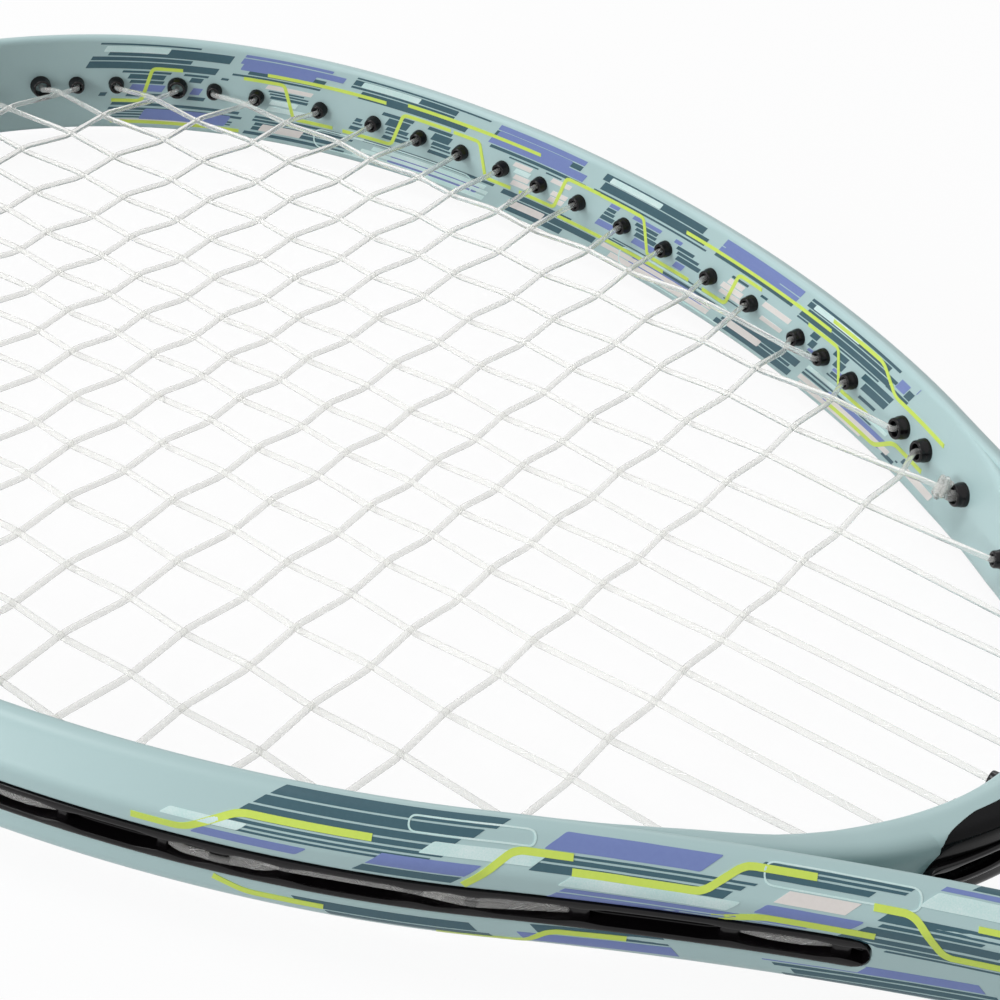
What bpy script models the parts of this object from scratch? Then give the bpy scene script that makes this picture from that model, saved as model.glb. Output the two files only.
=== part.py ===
# A strung soft tennis racket: moulded hairpin frame, bonded bridge, grommet strips,
# two woven strings with their knots, and a handle with its cap, grip, tape and collar.
# Metres, +Z up.  The racket lies flat: the string bed is the plane z = 0, +Y runs from
# the butt to the tip, and the origin is the middle of the butt end face.

import math

import bpy
import bmesh
from mathutils import Matrix, Vector

mm = 0.001

# whole racket
overall_length = 685.8 * mm
touch_gap = 0.3 * mm

# head: its inner wall, seen from above, is a superellipse above and below the widest line
head_half_width = 118.3 * mm
head_upper_reach = 130.8 * mm
head_lower_reach = 187.3 * mm
head_upper_power = 2.3
head_lower_power = 1.8

# rim section, measured outwards from the inner wall and up from the string plane
rim_width = 8.2 * mm
rim_half_height = 12.5 * mm
rim_inner_bevel = 1.6 * mm
rim_flat_top = 3.4 * mm
rim_top_drop = 0.35 * mm
rim_edge_height = 5.6 * mm
channel_depth = 3.7 * mm
arm_line_depth = 0.5 * mm
channel_end_rise = 5.5 * mm

# arms and shafts of the hairpin; the first three are shares of the head's half width, and of
# the distance from where an arm leaves the head to where its straight shaft starts
split_share = 0.66
arm_lead_share = 0.28
arm_finish_share = 0.34
shaft_gap = 1.6 * mm
shaft_half_height = 9.5 * mm
shaft_start_from_butt = 206.0 * mm
shaft_end_from_butt = 8.0 * mm
rim_step = 19.0 * mm
arm_step = 21.0 * mm

# bridge across the throat
bridge_tip_setback = 7.0 * mm
bridge_middle_thickness = 7.6 * mm
bridge_bow = 4.4 * mm
bridge_half_height = 9.3 * mm
bridge_end_half_height = 12.0 * mm
bridge_back_half_height = 7.2 * mm
bridge_step = 9.0 * mm

# string bed: an even count of mains, the gaps between crosses from the throat to the tip, and
# how far the four outer mains' low holes are moved up along the wall from the strings' lines
main_count = 16
main_gap_growth = 0.079
outer_main_from_wall = 20.2 * mm
cross_gaps = [24.2, 17.5, 15.2, 13.2, 14.5, 13.2, 14.2, 12.0, 11.4, 12.2, 12.1, 12.8, 14.2, 15.5, 17.2, 17.9]
first_cross_from_throat = 58.1 * mm
last_cross_from_tip = 22.3 * mm
low_hole_slides = [-2.4 * mm, 3.0 * mm, 4.2 * mm, 2.9 * mm]
least_hole_spacing = 8.2 * mm
string_diameter = 1.25 * mm
string_gap = 0.6 * mm
string_bend_clear = 4.2 * mm

# grommet strips and their barrels
strip_thickness = 0.8 * mm
strip_half_height = 2.45 * mm
strip_lip = 0.6 * mm
strip_stand = 0.3 * mm
strip_joint_gap = 1.2 * mm
corner_exit_from_end = 4.5 * mm
barrel_reach = 2.6 * mm
barrel_radius = 2.1 * mm
tie_barrel_radius = 2.6 * mm
barrel_clearance = 0.35 * mm
bore_clearance = 0.4 * mm
barrel_sides = 6
bumper_thickness = 1.0 * mm
bumper_main_count = 10
bridge_main_count = 6
strip_end_margin = 3.3 * mm

# knots
knot_turns = 2
knot_turn_points = 6
knot_rise = 1.9 * mm
knot_start = 1.8 * mm
knot_stub = 3.0 * mm

# handle
pallet_half_width = 13.6 * mm
pallet_half_height = 12.1 * mm
pallet_corner = 5.6 * mm
pallet_start = 3.8 * mm
pallet_end = 204.0 * mm
grip_thickness = 1.7 * mm
grip_start = 27.5 * mm
grip_end = 188.0 * mm
grip_pitch = 23.0 * mm
grip_seam = 0.5 * mm
grip_end_width = 3.0 * mm
tape_length = 11.0 * mm
tape_thickness = 0.5 * mm
collar_length = 14.0 * mm
collar_tip_thickness = 1.0 * mm
cap_length = 27.0 * mm
cap_wall = 1.5 * mm
cap_flare = 3.2 * mm
cap_flare_length = 17.0 * mm
cap_edge = 0.7 * mm
cap_end_thickness = 3.2 * mm
plug_radius = 9.5 * mm
plug_thickness = 1.1 * mm
staple_wire = 1.0 * mm
staple_width = 9.0 * mm
staple_depth = 1.5 * mm
staple_place = 20.0 * mm

# sizes that follow from the ones above
string_radius = string_diameter / 2
string_step = string_diameter + string_gap
channel_half_height = strip_half_height + touch_gap + 0.05 * mm
widest_line = (overall_length - bumper_thickness - touch_gap - strip_stand
               - rim_width - head_upper_reach)
channel_floor = rim_width - channel_depth
strip_bottom = channel_floor + touch_gap
strip_floor = strip_bottom + strip_thickness
groove_low = strip_floor + string_gap + string_radius
groove_high = groove_low + string_step
bore_radius = (string_radius + bore_clearance) / math.cos(math.pi / barrel_sides)
tie_bore_radius = (string_step / 2 + string_radius + bore_clearance) / math.cos(math.pi / barrel_sides)
bridge_inner_middle = widest_line - head_lower_reach
bridge_outer_middle = bridge_inner_middle - bridge_middle_thickness
half_mains = main_count // 2
split_half_width = split_share * head_half_width
bridge_half_span = split_half_width - bridge_tip_setback


def clear_scene():
    for old in list(bpy.data.objects):
        bpy.data.objects.remove(old, do_unlink=True)
    for old in list(bpy.data.collections):
        bpy.data.collections.remove(old)


def make_collection(name):
    collection = bpy.data.collections.new(name)
    bpy.context.scene.collection.children.link(collection)
    return collection


def make_material(name, colour, roughness, metallic=0.0):
    material = bpy.data.materials.new(name)
    material.use_nodes = True
    shader = material.node_tree.nodes["Principled BSDF"]
    shader.inputs["Base Color"].default_value = (*colour, 1.0)
    shader.inputs["Roughness"].default_value = roughness
    shader.inputs["Metallic"].default_value = metallic
    return material


# The hairpin's path: the head's inner wall, and below it the inner walls of the two arms.

def signed_power(value, power):
    return math.copysign(abs(value) ** power, value)


def head_point(angle):
    """Point of the head's inner wall at an angle round the middle of its widest line."""
    upper = math.sin(angle) > 0
    power = head_upper_power if upper else head_lower_power
    reach = head_upper_reach if upper else head_lower_reach
    x = head_half_width * signed_power(math.cos(angle), 2 / power)
    y = widest_line + reach * signed_power(math.sin(angle), 2 / power)
    return Vector((x, y))


def head_normal(point):
    """Outward direction of the head's inner wall at one of its points."""
    rise = point.y - widest_line
    power = head_upper_power if rise > 0 else head_lower_power
    reach = head_upper_reach if rise > 0 else head_lower_reach
    nx = signed_power(point.x / head_half_width, power - 1) / head_half_width
    ny = signed_power(rise / reach, power - 1) / reach
    return Vector((nx, ny)).normalized()


def head_lower_y(x):
    share = max(0.0, 1 - abs(x / head_half_width) ** head_lower_power)
    return widest_line - head_lower_reach * share ** (1 / head_lower_power)


def main_x(number):
    """Main strings spread out evenly faster, from the middle pair to the outermost."""
    steps = [1 + main_gap_growth * k for k in range(half_mains)]
    place_of = [steps[0] / 2 + sum(steps[1:k + 1]) for k in range(half_mains)]
    scale = (head_half_width - outer_main_from_wall) / place_of[-1]
    if number <= half_mains:
        return place_of[half_mains - number] * scale
    return -place_of[number - half_mains - 1] * scale


bridge_mains = list(range(half_mains - bridge_main_count // 2 + 1,
                          half_mains + bridge_main_count // 2 + 1))
corner_mains = [bridge_mains[0] - 1, bridge_mains[-1] + 1]
low_tie_mains = (corner_mains[0] - 2, corner_mains[1] + 2)
bumper_outer_main = half_mains - bumper_main_count // 2 + 1
bumper_half_width = (main_x(bumper_outer_main) + main_x(bumper_outer_main - 1)) / 2
bridge_strip_half_width = main_x(bridge_mains[0]) + barrel_radius + strip_end_margin


def bezier(cage, t):
    a, b, c, d = cage
    s = 1 - t
    return a * s ** 3 + b * 3 * s * s * t + c * 3 * s * t * t + d * t ** 3


def fine_rim_points():
    """Fine points of the hairpin's inner wall, from the tip's middle to the right shaft's end."""
    points = []
    head_points = 900
    arm_points = 200
    for i in range(head_points):
        point = head_point(math.pi / 2 - math.pi * i / head_points)
        if point.y < widest_line and point.x < split_half_width:
            break
        points.append(point)
    last = points[-1]
    normal = head_normal(last)
    along = Vector((normal.y, -normal.x))
    shaft_top = Vector((shaft_gap / 2, shaft_start_from_butt))
    reach = (last - shaft_top).length
    lead = along * arm_lead_share * reach
    finish = Vector((0, arm_finish_share * reach))
    cage = [last, last + lead, shaft_top + finish, shaft_top]
    points += [bezier(cage, i / arm_points) for i in range(1, arm_points + 1)]
    points.append(Vector((shaft_gap / 2, shaft_end_from_butt)))
    return points


def running_lengths(points):
    lengths = [0.0]
    for before, after in zip(points, points[1:]):
        lengths.append(lengths[-1] + (after - before).length)
    return lengths


def steps_between(start, end, step):
    count = max(1, math.ceil(abs(end - start) / step))
    return [start + (end - start) * i / count for i in range(count + 1)]


rim_points = fine_rim_points()
rim_lengths = running_lengths(rim_points)
rim_total = rim_lengths[-1]


def rim_length_where(test):
    """First length, from the tip down the right side, where a test of the point holds."""
    for length, point in zip(rim_lengths, rim_points):
        if test(point):
            return length
    return rim_total


widest_length = rim_length_where(lambda p: p.y <= widest_line)
split_length = rim_length_where(lambda p: p.y < widest_line and p.x <= split_half_width)
channel_end_length = rim_length_where(lambda p: p.y < bridge_inner_middle + channel_end_rise)
shaft_length = rim_lengths[-2]
bumper_end_length = rim_length_where(lambda p: p.x >= bumper_half_width)


def fine_frame_at(length):
    """Inner wall point and outward direction of the true curve, at a length down the right side."""
    low = max(i for i in range(len(rim_lengths) - 1) if rim_lengths[i] <= length)
    share = (length - rim_lengths[low]) / (rim_lengths[low + 1] - rim_lengths[low])
    point = rim_points[low].lerp(rim_points[low + 1], share)
    back = rim_points[max(low - 2, 0)]
    front = rim_points[min(low + 3, len(rim_points) - 1)]
    along = (front - back).normalized()
    outward = Vector((-along.y, along.x))
    if length == 0:
        outward = Vector((0, 1))
    if length >= shaft_length:
        outward = Vector((1, 0))
    return point, outward


stations = steps_between(0, widest_length, rim_step)
stations += steps_between(widest_length, channel_end_length, rim_step)[1:]
stations += steps_between(channel_end_length, shaft_length, arm_step)[1:]
stations += [rim_total]
station_frames = [fine_frame_at(length) for length in stations]


def rim_place(length, reach, z):
    """Place by length along the rim, right side positive, and by reach out from its inner wall.

    The rim is straight between its stations, and so is everything that follows it.
    """
    side = 1 if length >= 0 else -1
    length = min(abs(length), rim_total)
    low = max(i for i in range(len(stations) - 1) if stations[i] <= length)
    share = (length - stations[low]) / (stations[low + 1] - stations[low])
    point = station_frames[low][0].lerp(station_frames[low + 1][0], share)
    outward = station_frames[low][1].lerp(station_frames[low + 1][1], share)
    flat = point + outward * reach
    return Vector((flat.x * side, flat.y, z))


def stations_between(start, end):
    """Both ends, and the rim's stations that lie between them."""
    return [start] + [s for s in stations if start < s < end] + [end]


def mirrored_section(upper):
    return upper + [(reach, -z) for reach, z in reversed(upper)]


def rim_section(length, grow=0.0, with_channel=True):
    """Closed outline of the rim, as pairs of reach and height, at a length from the tip."""
    share = min(max((abs(length) - split_length) / (shaft_length - split_length), 0), 1)
    high = rim_half_height + (shaft_half_height - rim_half_height) * share + grow
    wide = rim_width + grow
    depth = channel_depth if abs(length) <= channel_end_length else arm_line_depth
    upper = [
        (-grow, high - rim_inner_bevel),
        (0.25 * rim_inner_bevel - grow, high - 0.25 * rim_inner_bevel),
        (rim_inner_bevel, high),
        (rim_flat_top, high - rim_top_drop),
        (wide - 0.05 * rim_width, rim_edge_height + 0.13 * rim_half_height),
        (wide, rim_edge_height),
    ]
    if with_channel:
        upper += [(wide, channel_half_height), (wide - depth, channel_half_height)]
    return mirrored_section(upper)


def arm_middle_y(x):
    """Where the middle of an arm lies, at a distance from the centre line."""
    for near, far in zip(stations, stations[1:]):
        a = rim_place(near, rim_width / 2, 0)
        b = rim_place(far, rim_width / 2, 0)
        if near >= widest_length and b.x <= abs(x) <= a.x and b.x < a.x:
            return a.y + (b.y - a.y) * (a.x - abs(x)) / (a.x - b.x)
    return shaft_end_from_butt


def bridge_back_y(x):
    """Throat side of the bridge: a shallow bow that ends inside the two arms."""
    bowed = bridge_outer_middle + bridge_bow * (x / bridge_strip_half_width) ** 2
    return max(bowed, arm_middle_y(x))


bridge_stations = steps_between(-bridge_half_span, bridge_half_span, bridge_step)


def bridge_place(x, reach, z):
    """Place in the bridge's groove, whose reach counts as the rim's does.

    The groove is straight between the bridge's stations.
    """
    low = max(i for i in range(len(bridge_stations) - 1) if bridge_stations[i] <= x)
    start, end = bridge_stations[low], bridge_stations[low + 1]
    share = (x - start) / (end - start)
    back = bridge_back_y(start) + (bridge_back_y(end) - bridge_back_y(start)) * share
    return Vector((x, back + rim_width - reach, z))


# Mesh helpers

def place(name, mesh, collection, material):
    thing = bpy.data.objects.new(name, mesh)
    collection.objects.link(thing)
    if material is not None:
        mesh.materials.append(material)
    return thing


def loft(name, rings, collection, material, closed=False):
    """Solid through a row of rings, each a list of points in the same order."""
    mesh = bpy.data.meshes.new(name)
    work = bmesh.new()
    rows = [[work.verts.new(point) for point in ring] for ring in rings]
    size = len(rings[0])
    following_rows = rows[1:] + rows[:1] if closed else rows[1:]
    for row, following in zip(rows, following_rows):
        for i in range(size):
            j = (i + 1) % size
            work.faces.new((row[i], row[j], following[j], following[i]))
    if not closed:
        work.faces.new(list(reversed(rows[0])))
        work.faces.new(rows[-1])
    bmesh.ops.recalc_face_normals(work, faces=work.faces)
    work.to_mesh(mesh)
    work.free()
    return place(name, mesh, collection, material)


def smooth(thing, angle=38.0):
    thing.data.shade_smooth()
    thing.data.set_sharp_from_angle(angle=math.radians(angle))


def tube_along(name, points, radius, collection, material):
    """Wire as a curve with a round bevel and filled ends."""
    data = bpy.data.curves.new(name, "CURVE")
    data.dimensions = "3D"
    data.bevel_depth = radius
    data.bevel_resolution = 1
    data.use_fill_caps = True
    spline = data.splines.new("POLY")
    spline.points.add(len(points) - 1)
    for knob, point in zip(spline.points, points):
        knob.co = (*point, 1.0)
    thing = bpy.data.objects.new(name, data)
    collection.objects.link(thing)
    data.materials.append(material)
    return thing


def as_mesh(thing, collection):
    """Mesh object of a finished curve, with its caps welded, in place of the curve."""
    name = thing.name
    bpy.context.view_layer.update()
    graph = bpy.context.evaluated_depsgraph_get()
    mesh = bpy.data.meshes.new_from_object(thing.evaluated_get(graph))
    work = bmesh.new()
    work.from_mesh(mesh)
    bmesh.ops.remove_doubles(work, verts=work.verts, dist=0.00001)
    work.to_mesh(mesh)
    work.free()
    matrix = thing.matrix_world.copy()
    bpy.data.objects.remove(thing, do_unlink=True)
    solid = bpy.data.objects.new(name, mesh)
    solid.matrix_world = matrix
    collection.objects.link(solid)
    return solid


def prism_between(work, start, end, radius, sides):
    """Adds a straight prism between two points to a mesh being made."""
    along = (end - start).normalized()
    side = along.cross(Vector((0, 0, 1)))
    if side.length < 0.01:
        side = Vector((1, 0, 0))
    side.normalize()
    pose = Matrix((side, along.cross(side), along)).transposed().to_4x4()
    pose.translation = (start + end) / 2
    bmesh.ops.create_cone(work, cap_ends=True, segments=sides, radius1=radius,
                          radius2=radius, depth=(end - start).length, matrix=pose)


def prisms(name, rods, sides, collection):
    """One hidden guide that holds a straight prism for each rod given."""
    mesh = bpy.data.meshes.new(name)
    work = bmesh.new()
    for start, end, radius in rods:
        prism_between(work, start, end, radius, sides)
    work.to_mesh(mesh)
    work.free()
    thing = place(name, mesh, collection, None)
    hide_guide(thing)
    return thing


def hide_guide(thing):
    thing.hide_render = True
    thing.display_type = "WIRE"


def boolean(thing, other, operation):
    change = thing.modifiers.new(operation.lower() + "_" + other.name, "BOOLEAN")
    change.operation = operation
    change.object = other
    change.solver = "EXACT"


def apply_modifiers(thing):
    """Turns an object's modifiers into its mesh."""
    bpy.context.view_layer.update()
    graph = bpy.context.evaluated_depsgraph_get()
    mesh = bpy.data.meshes.new_from_object(thing.evaluated_get(graph))
    thing.modifiers.clear()
    thing.data = mesh


# String holes.  A hole runs from its barrel's tip, inside the head, straight outwards to the
# groove.  Mains are numbered from the right, crosses from the throat.

def cross_y(number):
    first = bridge_inner_middle + first_cross_from_throat
    last = widest_line + head_upper_reach - last_cross_from_tip
    return first + (last - first) * sum(cross_gaps[:number - 1]) / sum(cross_gaps)


cross_count = len(cross_gaps) + 1
wall_points = [head_point(math.pi / 2 - math.pi * i / 1440) for i in range(1441)]
wall_lengths = running_lengths(wall_points)


def wall_length_where(axis, value, keep):
    """Length down the head's right wall to where x or y has a value, among the points kept."""
    for i, (a, b) in enumerate(zip(wall_points, wall_points[1:])):
        if (a[axis] - value) * (b[axis] - value) <= 0 and a[axis] != b[axis] and keep(a):
            share = (value - a[axis]) / (b[axis] - a[axis])
            return wall_lengths[i] + (wall_lengths[i + 1] - wall_lengths[i]) * share
    raise ValueError("this string misses the head's wall")


def wall_at(length):
    for i in range(len(wall_points) - 1):
        if wall_lengths[i + 1] >= length:
            share = (length - wall_lengths[i]) / (wall_lengths[i + 1] - wall_lengths[i])
            return wall_points[i].lerp(wall_points[i + 1], share)
    return wall_points[-1]


def ray_to_rim(start, direction, reach):
    """Distance along a ray, and length along the rim, where the ray comes to a given reach."""
    side = 1 if start.x >= 0 else -1
    best = None
    for near, far in zip(stations, stations[1:]):
        a = rim_place(side * near, reach, 0).xy
        run = rim_place(side * far, reach, 0).xy - a
        offset = a - start
        cross = direction.x * run.y - direction.y * run.x
        if abs(cross) > 1e-12:
            along = (offset.x * run.y - offset.y * run.x) / cross
            share = (offset.x * direction.y - offset.y * direction.x) / cross
            if along > 0 and 0 <= share <= 1 and (best is None or along < best[0]):
                best = (along, side * (near + (far - near) * share))
    return best


top_tie_main = corner_mains[0]
wide_barrels = {("main", n, "bottom") for n in (2, 3, main_count - 1, main_count - 2)}
wide_barrels |= {("main", n, "top") for n in (3, main_count - 2, *corner_mains)}
wide_barrels |= {("cross", n, end) for n in (1, cross_count - 1) for end in ("left", "right")}


def corner_direction(tip):
    """The hole beside the bridge slants, so that it comes out before the groove's end."""
    side = 1 if tip.x > 0 else -1
    exit_at = rim_place(side * (channel_end_length - corner_exit_from_end), groove_low, 0).xy
    return (exit_at - tip).normalized()


def hole_lengths():
    """Places down the right wall of all its holes, moved apart where they come too close."""
    lengths = {}
    for number in range(1, half_mains + 1):
        for end, above in (("top", True), ("bottom", False)):
            key = ("main", number, end)
            lengths[key] = wall_length_where(0, main_x(number), lambda p: (p.y > widest_line) == above)
    for number, slide in enumerate(low_hole_slides, 1):
        lengths[("main", number, "bottom")] -= slide
    for number in range(1, cross_count + 1):
        lengths[("cross", number, "right")] = wall_length_where(1, cross_y(number), lambda p: p.x > 0)
    order = sorted(lengths, key=lengths.get)
    for _ in order:
        for one, other in zip(order, order[1:]):
            short = max(0.0, least_hole_spacing - (lengths[other] - lengths[one]))
            lengths[one] -= short / 2
            lengths[other] += short / 2
    return lengths


right_lengths = hole_lengths()


def hole_at(kind, number, end):
    """One string hole: kind is main or cross, end is top, bottom, left or right."""
    low_main = kind == "main" and end == "bottom"
    if kind == "main":
        side = 1 if main_x(number) > 0 else -1
        mirror_number = min(number, main_count + 1 - number)
        wall = wall_at(right_lengths[(kind, mirror_number, end)])
    else:
        side = 1 if end == "right" else -1
        wall = wall_at(right_lengths[(kind, number, "right")])
    normal = head_normal(wall)
    wall.x *= side
    normal.x *= side
    hole = {"kind": kind, "number": number, "end": end, "wall": wall,
            "wide": (kind, number, end) in wide_barrels, "on_bridge": False}
    if low_main and number in bridge_mains:
        tip = wall + Vector((0, barrel_reach))
        hole["on_bridge"] = True
        hole["outward"] = Vector((0, -1))
        to_reach = {reach: (tip.y - bridge_place(tip.x, reach, 0).y, tip.x)
                    for reach in (strip_floor, groove_low)}
    else:
        tip = wall - normal * barrel_reach
        slanted = low_main and number in corner_mains
        hole["outward"] = corner_direction(tip) if slanted else normal
        to_reach = {reach: ray_to_rim(tip, hole["outward"], reach)
                    for reach in (strip_floor, groove_low)}
    hole["tip"] = tip
    hole["floor_depth"] = to_reach[strip_floor][0]
    hole["exit_depth"], hole["length"] = to_reach[groove_low]
    return hole


holes = {}
for main_number in range(1, main_count + 1):
    for main_end in ("bottom", "top"):
        holes[("main", main_number, main_end)] = hole_at("main", main_number, main_end)
for cross_number in range(1, cross_count + 1):
    for cross_end in ("left", "right"):
        holes[("cross", cross_number, cross_end)] = hole_at("cross", cross_number, cross_end)


def on_hole(hole, distance, z=0.0):
    """Point on a hole's axis, at a distance outwards from the barrel's tip."""
    flat = hole["tip"] + hole["outward"] * distance
    return Vector((flat.x, flat.y, z))


def in_bumper(hole):
    return hole["kind"] == "main" and hole["end"] == "top" and abs(hole["tip"].x) < bumper_half_width


def hole_rods(members):
    """Rods that cut clear holes for barrels, from inside the head to the groove's mouth."""
    rods = []
    for hole in members:
        radius = (tie_barrel_radius if hole["wide"] else barrel_radius) + barrel_clearance
        rods.append((on_hole(hole, -2 * barrel_reach), on_hole(hole, hole["floor_depth"]), radius))
    return rods


# Frame and bridge

def rim_rings(lengths, grow=0.0, with_channel=True):
    rings = []
    for length in lengths:
        section = rim_section(length, grow, with_channel)
        rings.append([rim_place(length, reach, z) for reach, z in section])
    return rings


def make_frame(parts, guides, paint):
    half = sorted(stations + [channel_end_length + touch_gap])
    both = [-length for length in reversed(half[1:])] + half
    frame = loft("frame", rim_rings(both), parts, paint)
    members = [hole for hole in holes.values() if not hole["on_bridge"]]
    for side, name in ((1, "right_hole_cutter"), (-1, "left_hole_cutter")):
        mine = [hole for hole in members if hole["tip"].x * side > 0]
        for offset in range(2):
            rods = hole_rods(ordered_along_rim(mine)[offset::2])
            cutter = prisms(name + str(offset), rods, barrel_sides, guides)
            boolean(frame, cutter, "DIFFERENCE")
            apply_modifiers(frame)
    smooth(frame)
    return frame


def ordered_along_rim(members):
    return sorted(members, key=lambda hole: abs(hole["length"]))


def bridge_section(x):
    """Upright section of the bridge at one x, from the head side to the throat side."""
    inner = head_lower_y(x)
    outer = bridge_back_y(x)
    rise = bridge_end_half_height - bridge_half_height
    top = bridge_half_height + rise * (x / bridge_half_span) ** 2
    back = bridge_back_half_height
    upper = [
        (inner, top - 0.3 * bridge_middle_thickness),
        (inner - 0.1 * bridge_middle_thickness, top - 0.1 * bridge_middle_thickness),
        (inner - 0.3 * bridge_middle_thickness, top),
        (inner - 0.55 * bridge_middle_thickness, top - 0.1 * bridge_middle_thickness),
        (outer, back),
        (outer, channel_half_height),
        (outer + channel_depth, channel_half_height),
    ]
    return [Vector((x, y, z)) for y, z in mirrored_section(upper)]


def make_bridge(parts, guides, paint):
    """The bridge fills the corner between the head's wall and the hairpin's two arms."""
    bridge = loft("bridge", [bridge_section(x) for x in bridge_stations], parts, paint)
    for side, name in ((1, "right_arm_cutter"), (-1, "left_arm_cutter")):
        arm = stations_between(split_length - rim_step, channel_end_length + 2 * rim_step)
        rings = rim_rings([side * length for length in arm], touch_gap, False)
        cutter = loft(name, rings, guides, None)
        hide_guide(cutter)
        boolean(bridge, cutter, "DIFFERENCE")
    members = [hole for hole in holes.values()
               if hole["kind"] == "main" and hole["end"] == "bottom"
               and abs(hole["tip"].x) < bridge_half_span + barrel_radius]
    rods = prisms("bridge_hole_cutter", hole_rods(members), barrel_sides, guides)
    boolean(bridge, rods, "DIFFERENCE")
    apply_modifiers(bridge)
    smooth(bridge)
    return bridge


# Grommet strips

def strip_section():
    """Section of a grommet strip: a thin floor between two raised lips."""
    top = rim_width + strip_stand
    lip = strip_half_height - strip_lip
    return mirrored_section([(strip_bottom, strip_half_height), (top, strip_half_height),
                             (top, lip), (strip_floor, lip)])


def bumper_section():
    """Section of the tip's guard: the strip's floor, and a wider skirt over the rim."""
    inner = rim_width + touch_gap
    outer = inner + bumper_thickness + strip_stand
    lip = strip_half_height - strip_lip
    skirt = rim_edge_height - touch_gap
    return mirrored_section([(strip_bottom, strip_half_height), (inner, strip_half_height),
                             (inner, skirt), (outer, skirt - 0.5 * bumper_thickness),
                             (outer, lip), (strip_floor, lip)])


def add_barrels(strip, members, guides):
    """Joins a strip's barrels to its floor, then opens every bore right through."""
    outside = []
    inside = []
    for hole in members:
        radius = tie_barrel_radius if hole["wide"] else barrel_radius
        bore = tie_bore_radius if hole["wide"] else bore_radius
        join = hole["floor_depth"] - strip_thickness / 2
        outside.append((on_hole(hole, 0), on_hole(hole, join), radius))
        inside.append((on_hole(hole, -barrel_reach), on_hole(hole, join + 2 * strip_thickness), bore))
    for rods, operation in ((outside, "UNION"), (inside, "DIFFERENCE")):
        for offset in range(2):
            guide = prisms(strip.name + operation.lower() + str(offset), rods[offset::2],
                           barrel_sides, guides)
            boolean(strip, guide, operation)
            apply_modifiers(strip)
    smooth(strip)


def make_strips(parts, guides, nylon):
    finish = channel_end_length - touch_gap
    for side, name in ((1, "side_strip_right"), (-1, "side_strip_left")):
        lengths = stations_between(bumper_end_length + strip_joint_gap, finish)
        rings = [[rim_place(side * s, reach, z) for reach, z in strip_section()] for s in lengths]
        strip = loft(name, rings, parts, nylon)
        members = [hole for hole in holes.values() if hole["tip"].x * side > 0
                   and not in_bumper(hole) and not hole["on_bridge"]]
        add_barrels(strip, ordered_along_rim(members), guides)
    half = stations_between(0, bumper_end_length)
    lengths = [-length for length in reversed(half[1:])] + half
    rings = [[rim_place(s, reach, z) for reach, z in bumper_section()] for s in lengths]
    bumper = loft("bumper_guard", rings, parts, nylon)
    members = [hole for hole in holes.values() if in_bumper(hole)]
    add_barrels(bumper, sorted(members, key=lambda hole: hole["tip"].x), guides)
    xs = [x for x in bridge_stations if abs(x) < bridge_strip_half_width]
    xs = [-bridge_strip_half_width] + xs + [bridge_strip_half_width]
    rings = [[bridge_place(x, reach, z) for reach, z in strip_section()] for x in xs]
    strip = loft("bridge_strip", rings, parts, nylon)
    members = [hole for hole in holes.values() if hole["on_bridge"]]
    add_barrels(strip, sorted(members, key=lambda hole: hole["tip"].x), guides)


# Strings.  In the groove a string lies low, to one side, and rises over each mouth it passes.

def crossing_z(kind, main, cross):
    """The mains run straight; a cross dips under a main where their numbers make an even sum."""
    if kind == "main":
        return 0.0
    return -string_step if (main + cross) % 2 == 0 else string_step


def they_cross(main, cross):
    low = holes[("main", main, "bottom")]["tip"].y
    high = holes[("main", main, "top")]["tip"].y
    return low + string_diameter < cross_y(cross) < high - string_diameter


def crossing(kind, main, cross):
    """Where one of two crossing strings runs; a main keeps clear of the cross's barrel."""
    reach = abs(holes[("cross", cross, "right")]["tip"].x) - string_bend_clear
    x = math.copysign(min(abs(main_x(main)), reach), main_x(main))
    return Vector((x, cross_y(cross), crossing_z(kind, main, cross)))


def inside_points(kind, number, start, end):
    """Points of one string across the head, from its start hole's mouth to its end's."""
    first = holes[(kind, number, start)]
    last = holes[(kind, number, end)]
    if kind == "main":
        pairs = [(number, cross) for cross in range(1, cross_count + 1)]
    else:
        pairs = [(main, number) for main in range(main_count, 0, -1)]
    crossings = [crossing(kind, main, cross) for main, cross in pairs if they_cross(main, cross)]
    if start in ("top", "right"):
        crossings.reverse()
    points = mouth_points(first) + crossings + list(reversed(mouth_points(last)))
    return without_straight_points(points)


def without_straight_points(points):
    """Leaves out the points that lie on the straight line between their neighbours."""
    kept = [points[0]]
    for before, point, after in zip(points, points[1:], points[2:]):
        turn = (point - before).normalized().cross((after - point).normalized()).length
        if turn > 1e-4:
            kept.append(point)
    return kept + [points[-1]]


def shares_hole(hole):
    key = (hole["kind"], hole["number"], hole["end"])
    return key in shared_holes


def mouth_points(hole):
    """Where a string enters the head, and, beside a tail's knot, its straight stretch there."""
    if not shares_hole(hole):
        return [on_hole(hole, -string_radius)]
    up = string_step / 2
    inward = 1 if hole["end"] == "bottom" else -1
    mouth = on_hole(hole, -string_radius, up)
    knot_length = knot_start + knot_rise * (knot_turns + 1)
    return [mouth, mouth + Vector((0, inward * knot_length, 0))]


def exit_point(hole, side=0):
    """Where a string leaves a hole and turns along the groove."""
    return on_hole(hole, hole["exit_depth"], side * string_step / 2)


def groove_point(length, reach, side):
    return rim_place(length, reach, side * string_step / 2)


def between(one, other):
    return (one["length"] + other["length"]) / 2


def bowed_span(start, middle, end):
    """A span between two holes, with a middle point where the groove bends enough to need it."""
    bow = (middle - (start + end) / 2).length
    return [start, middle, end] if bow > string_gap / 3 else [start, end]


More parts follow.
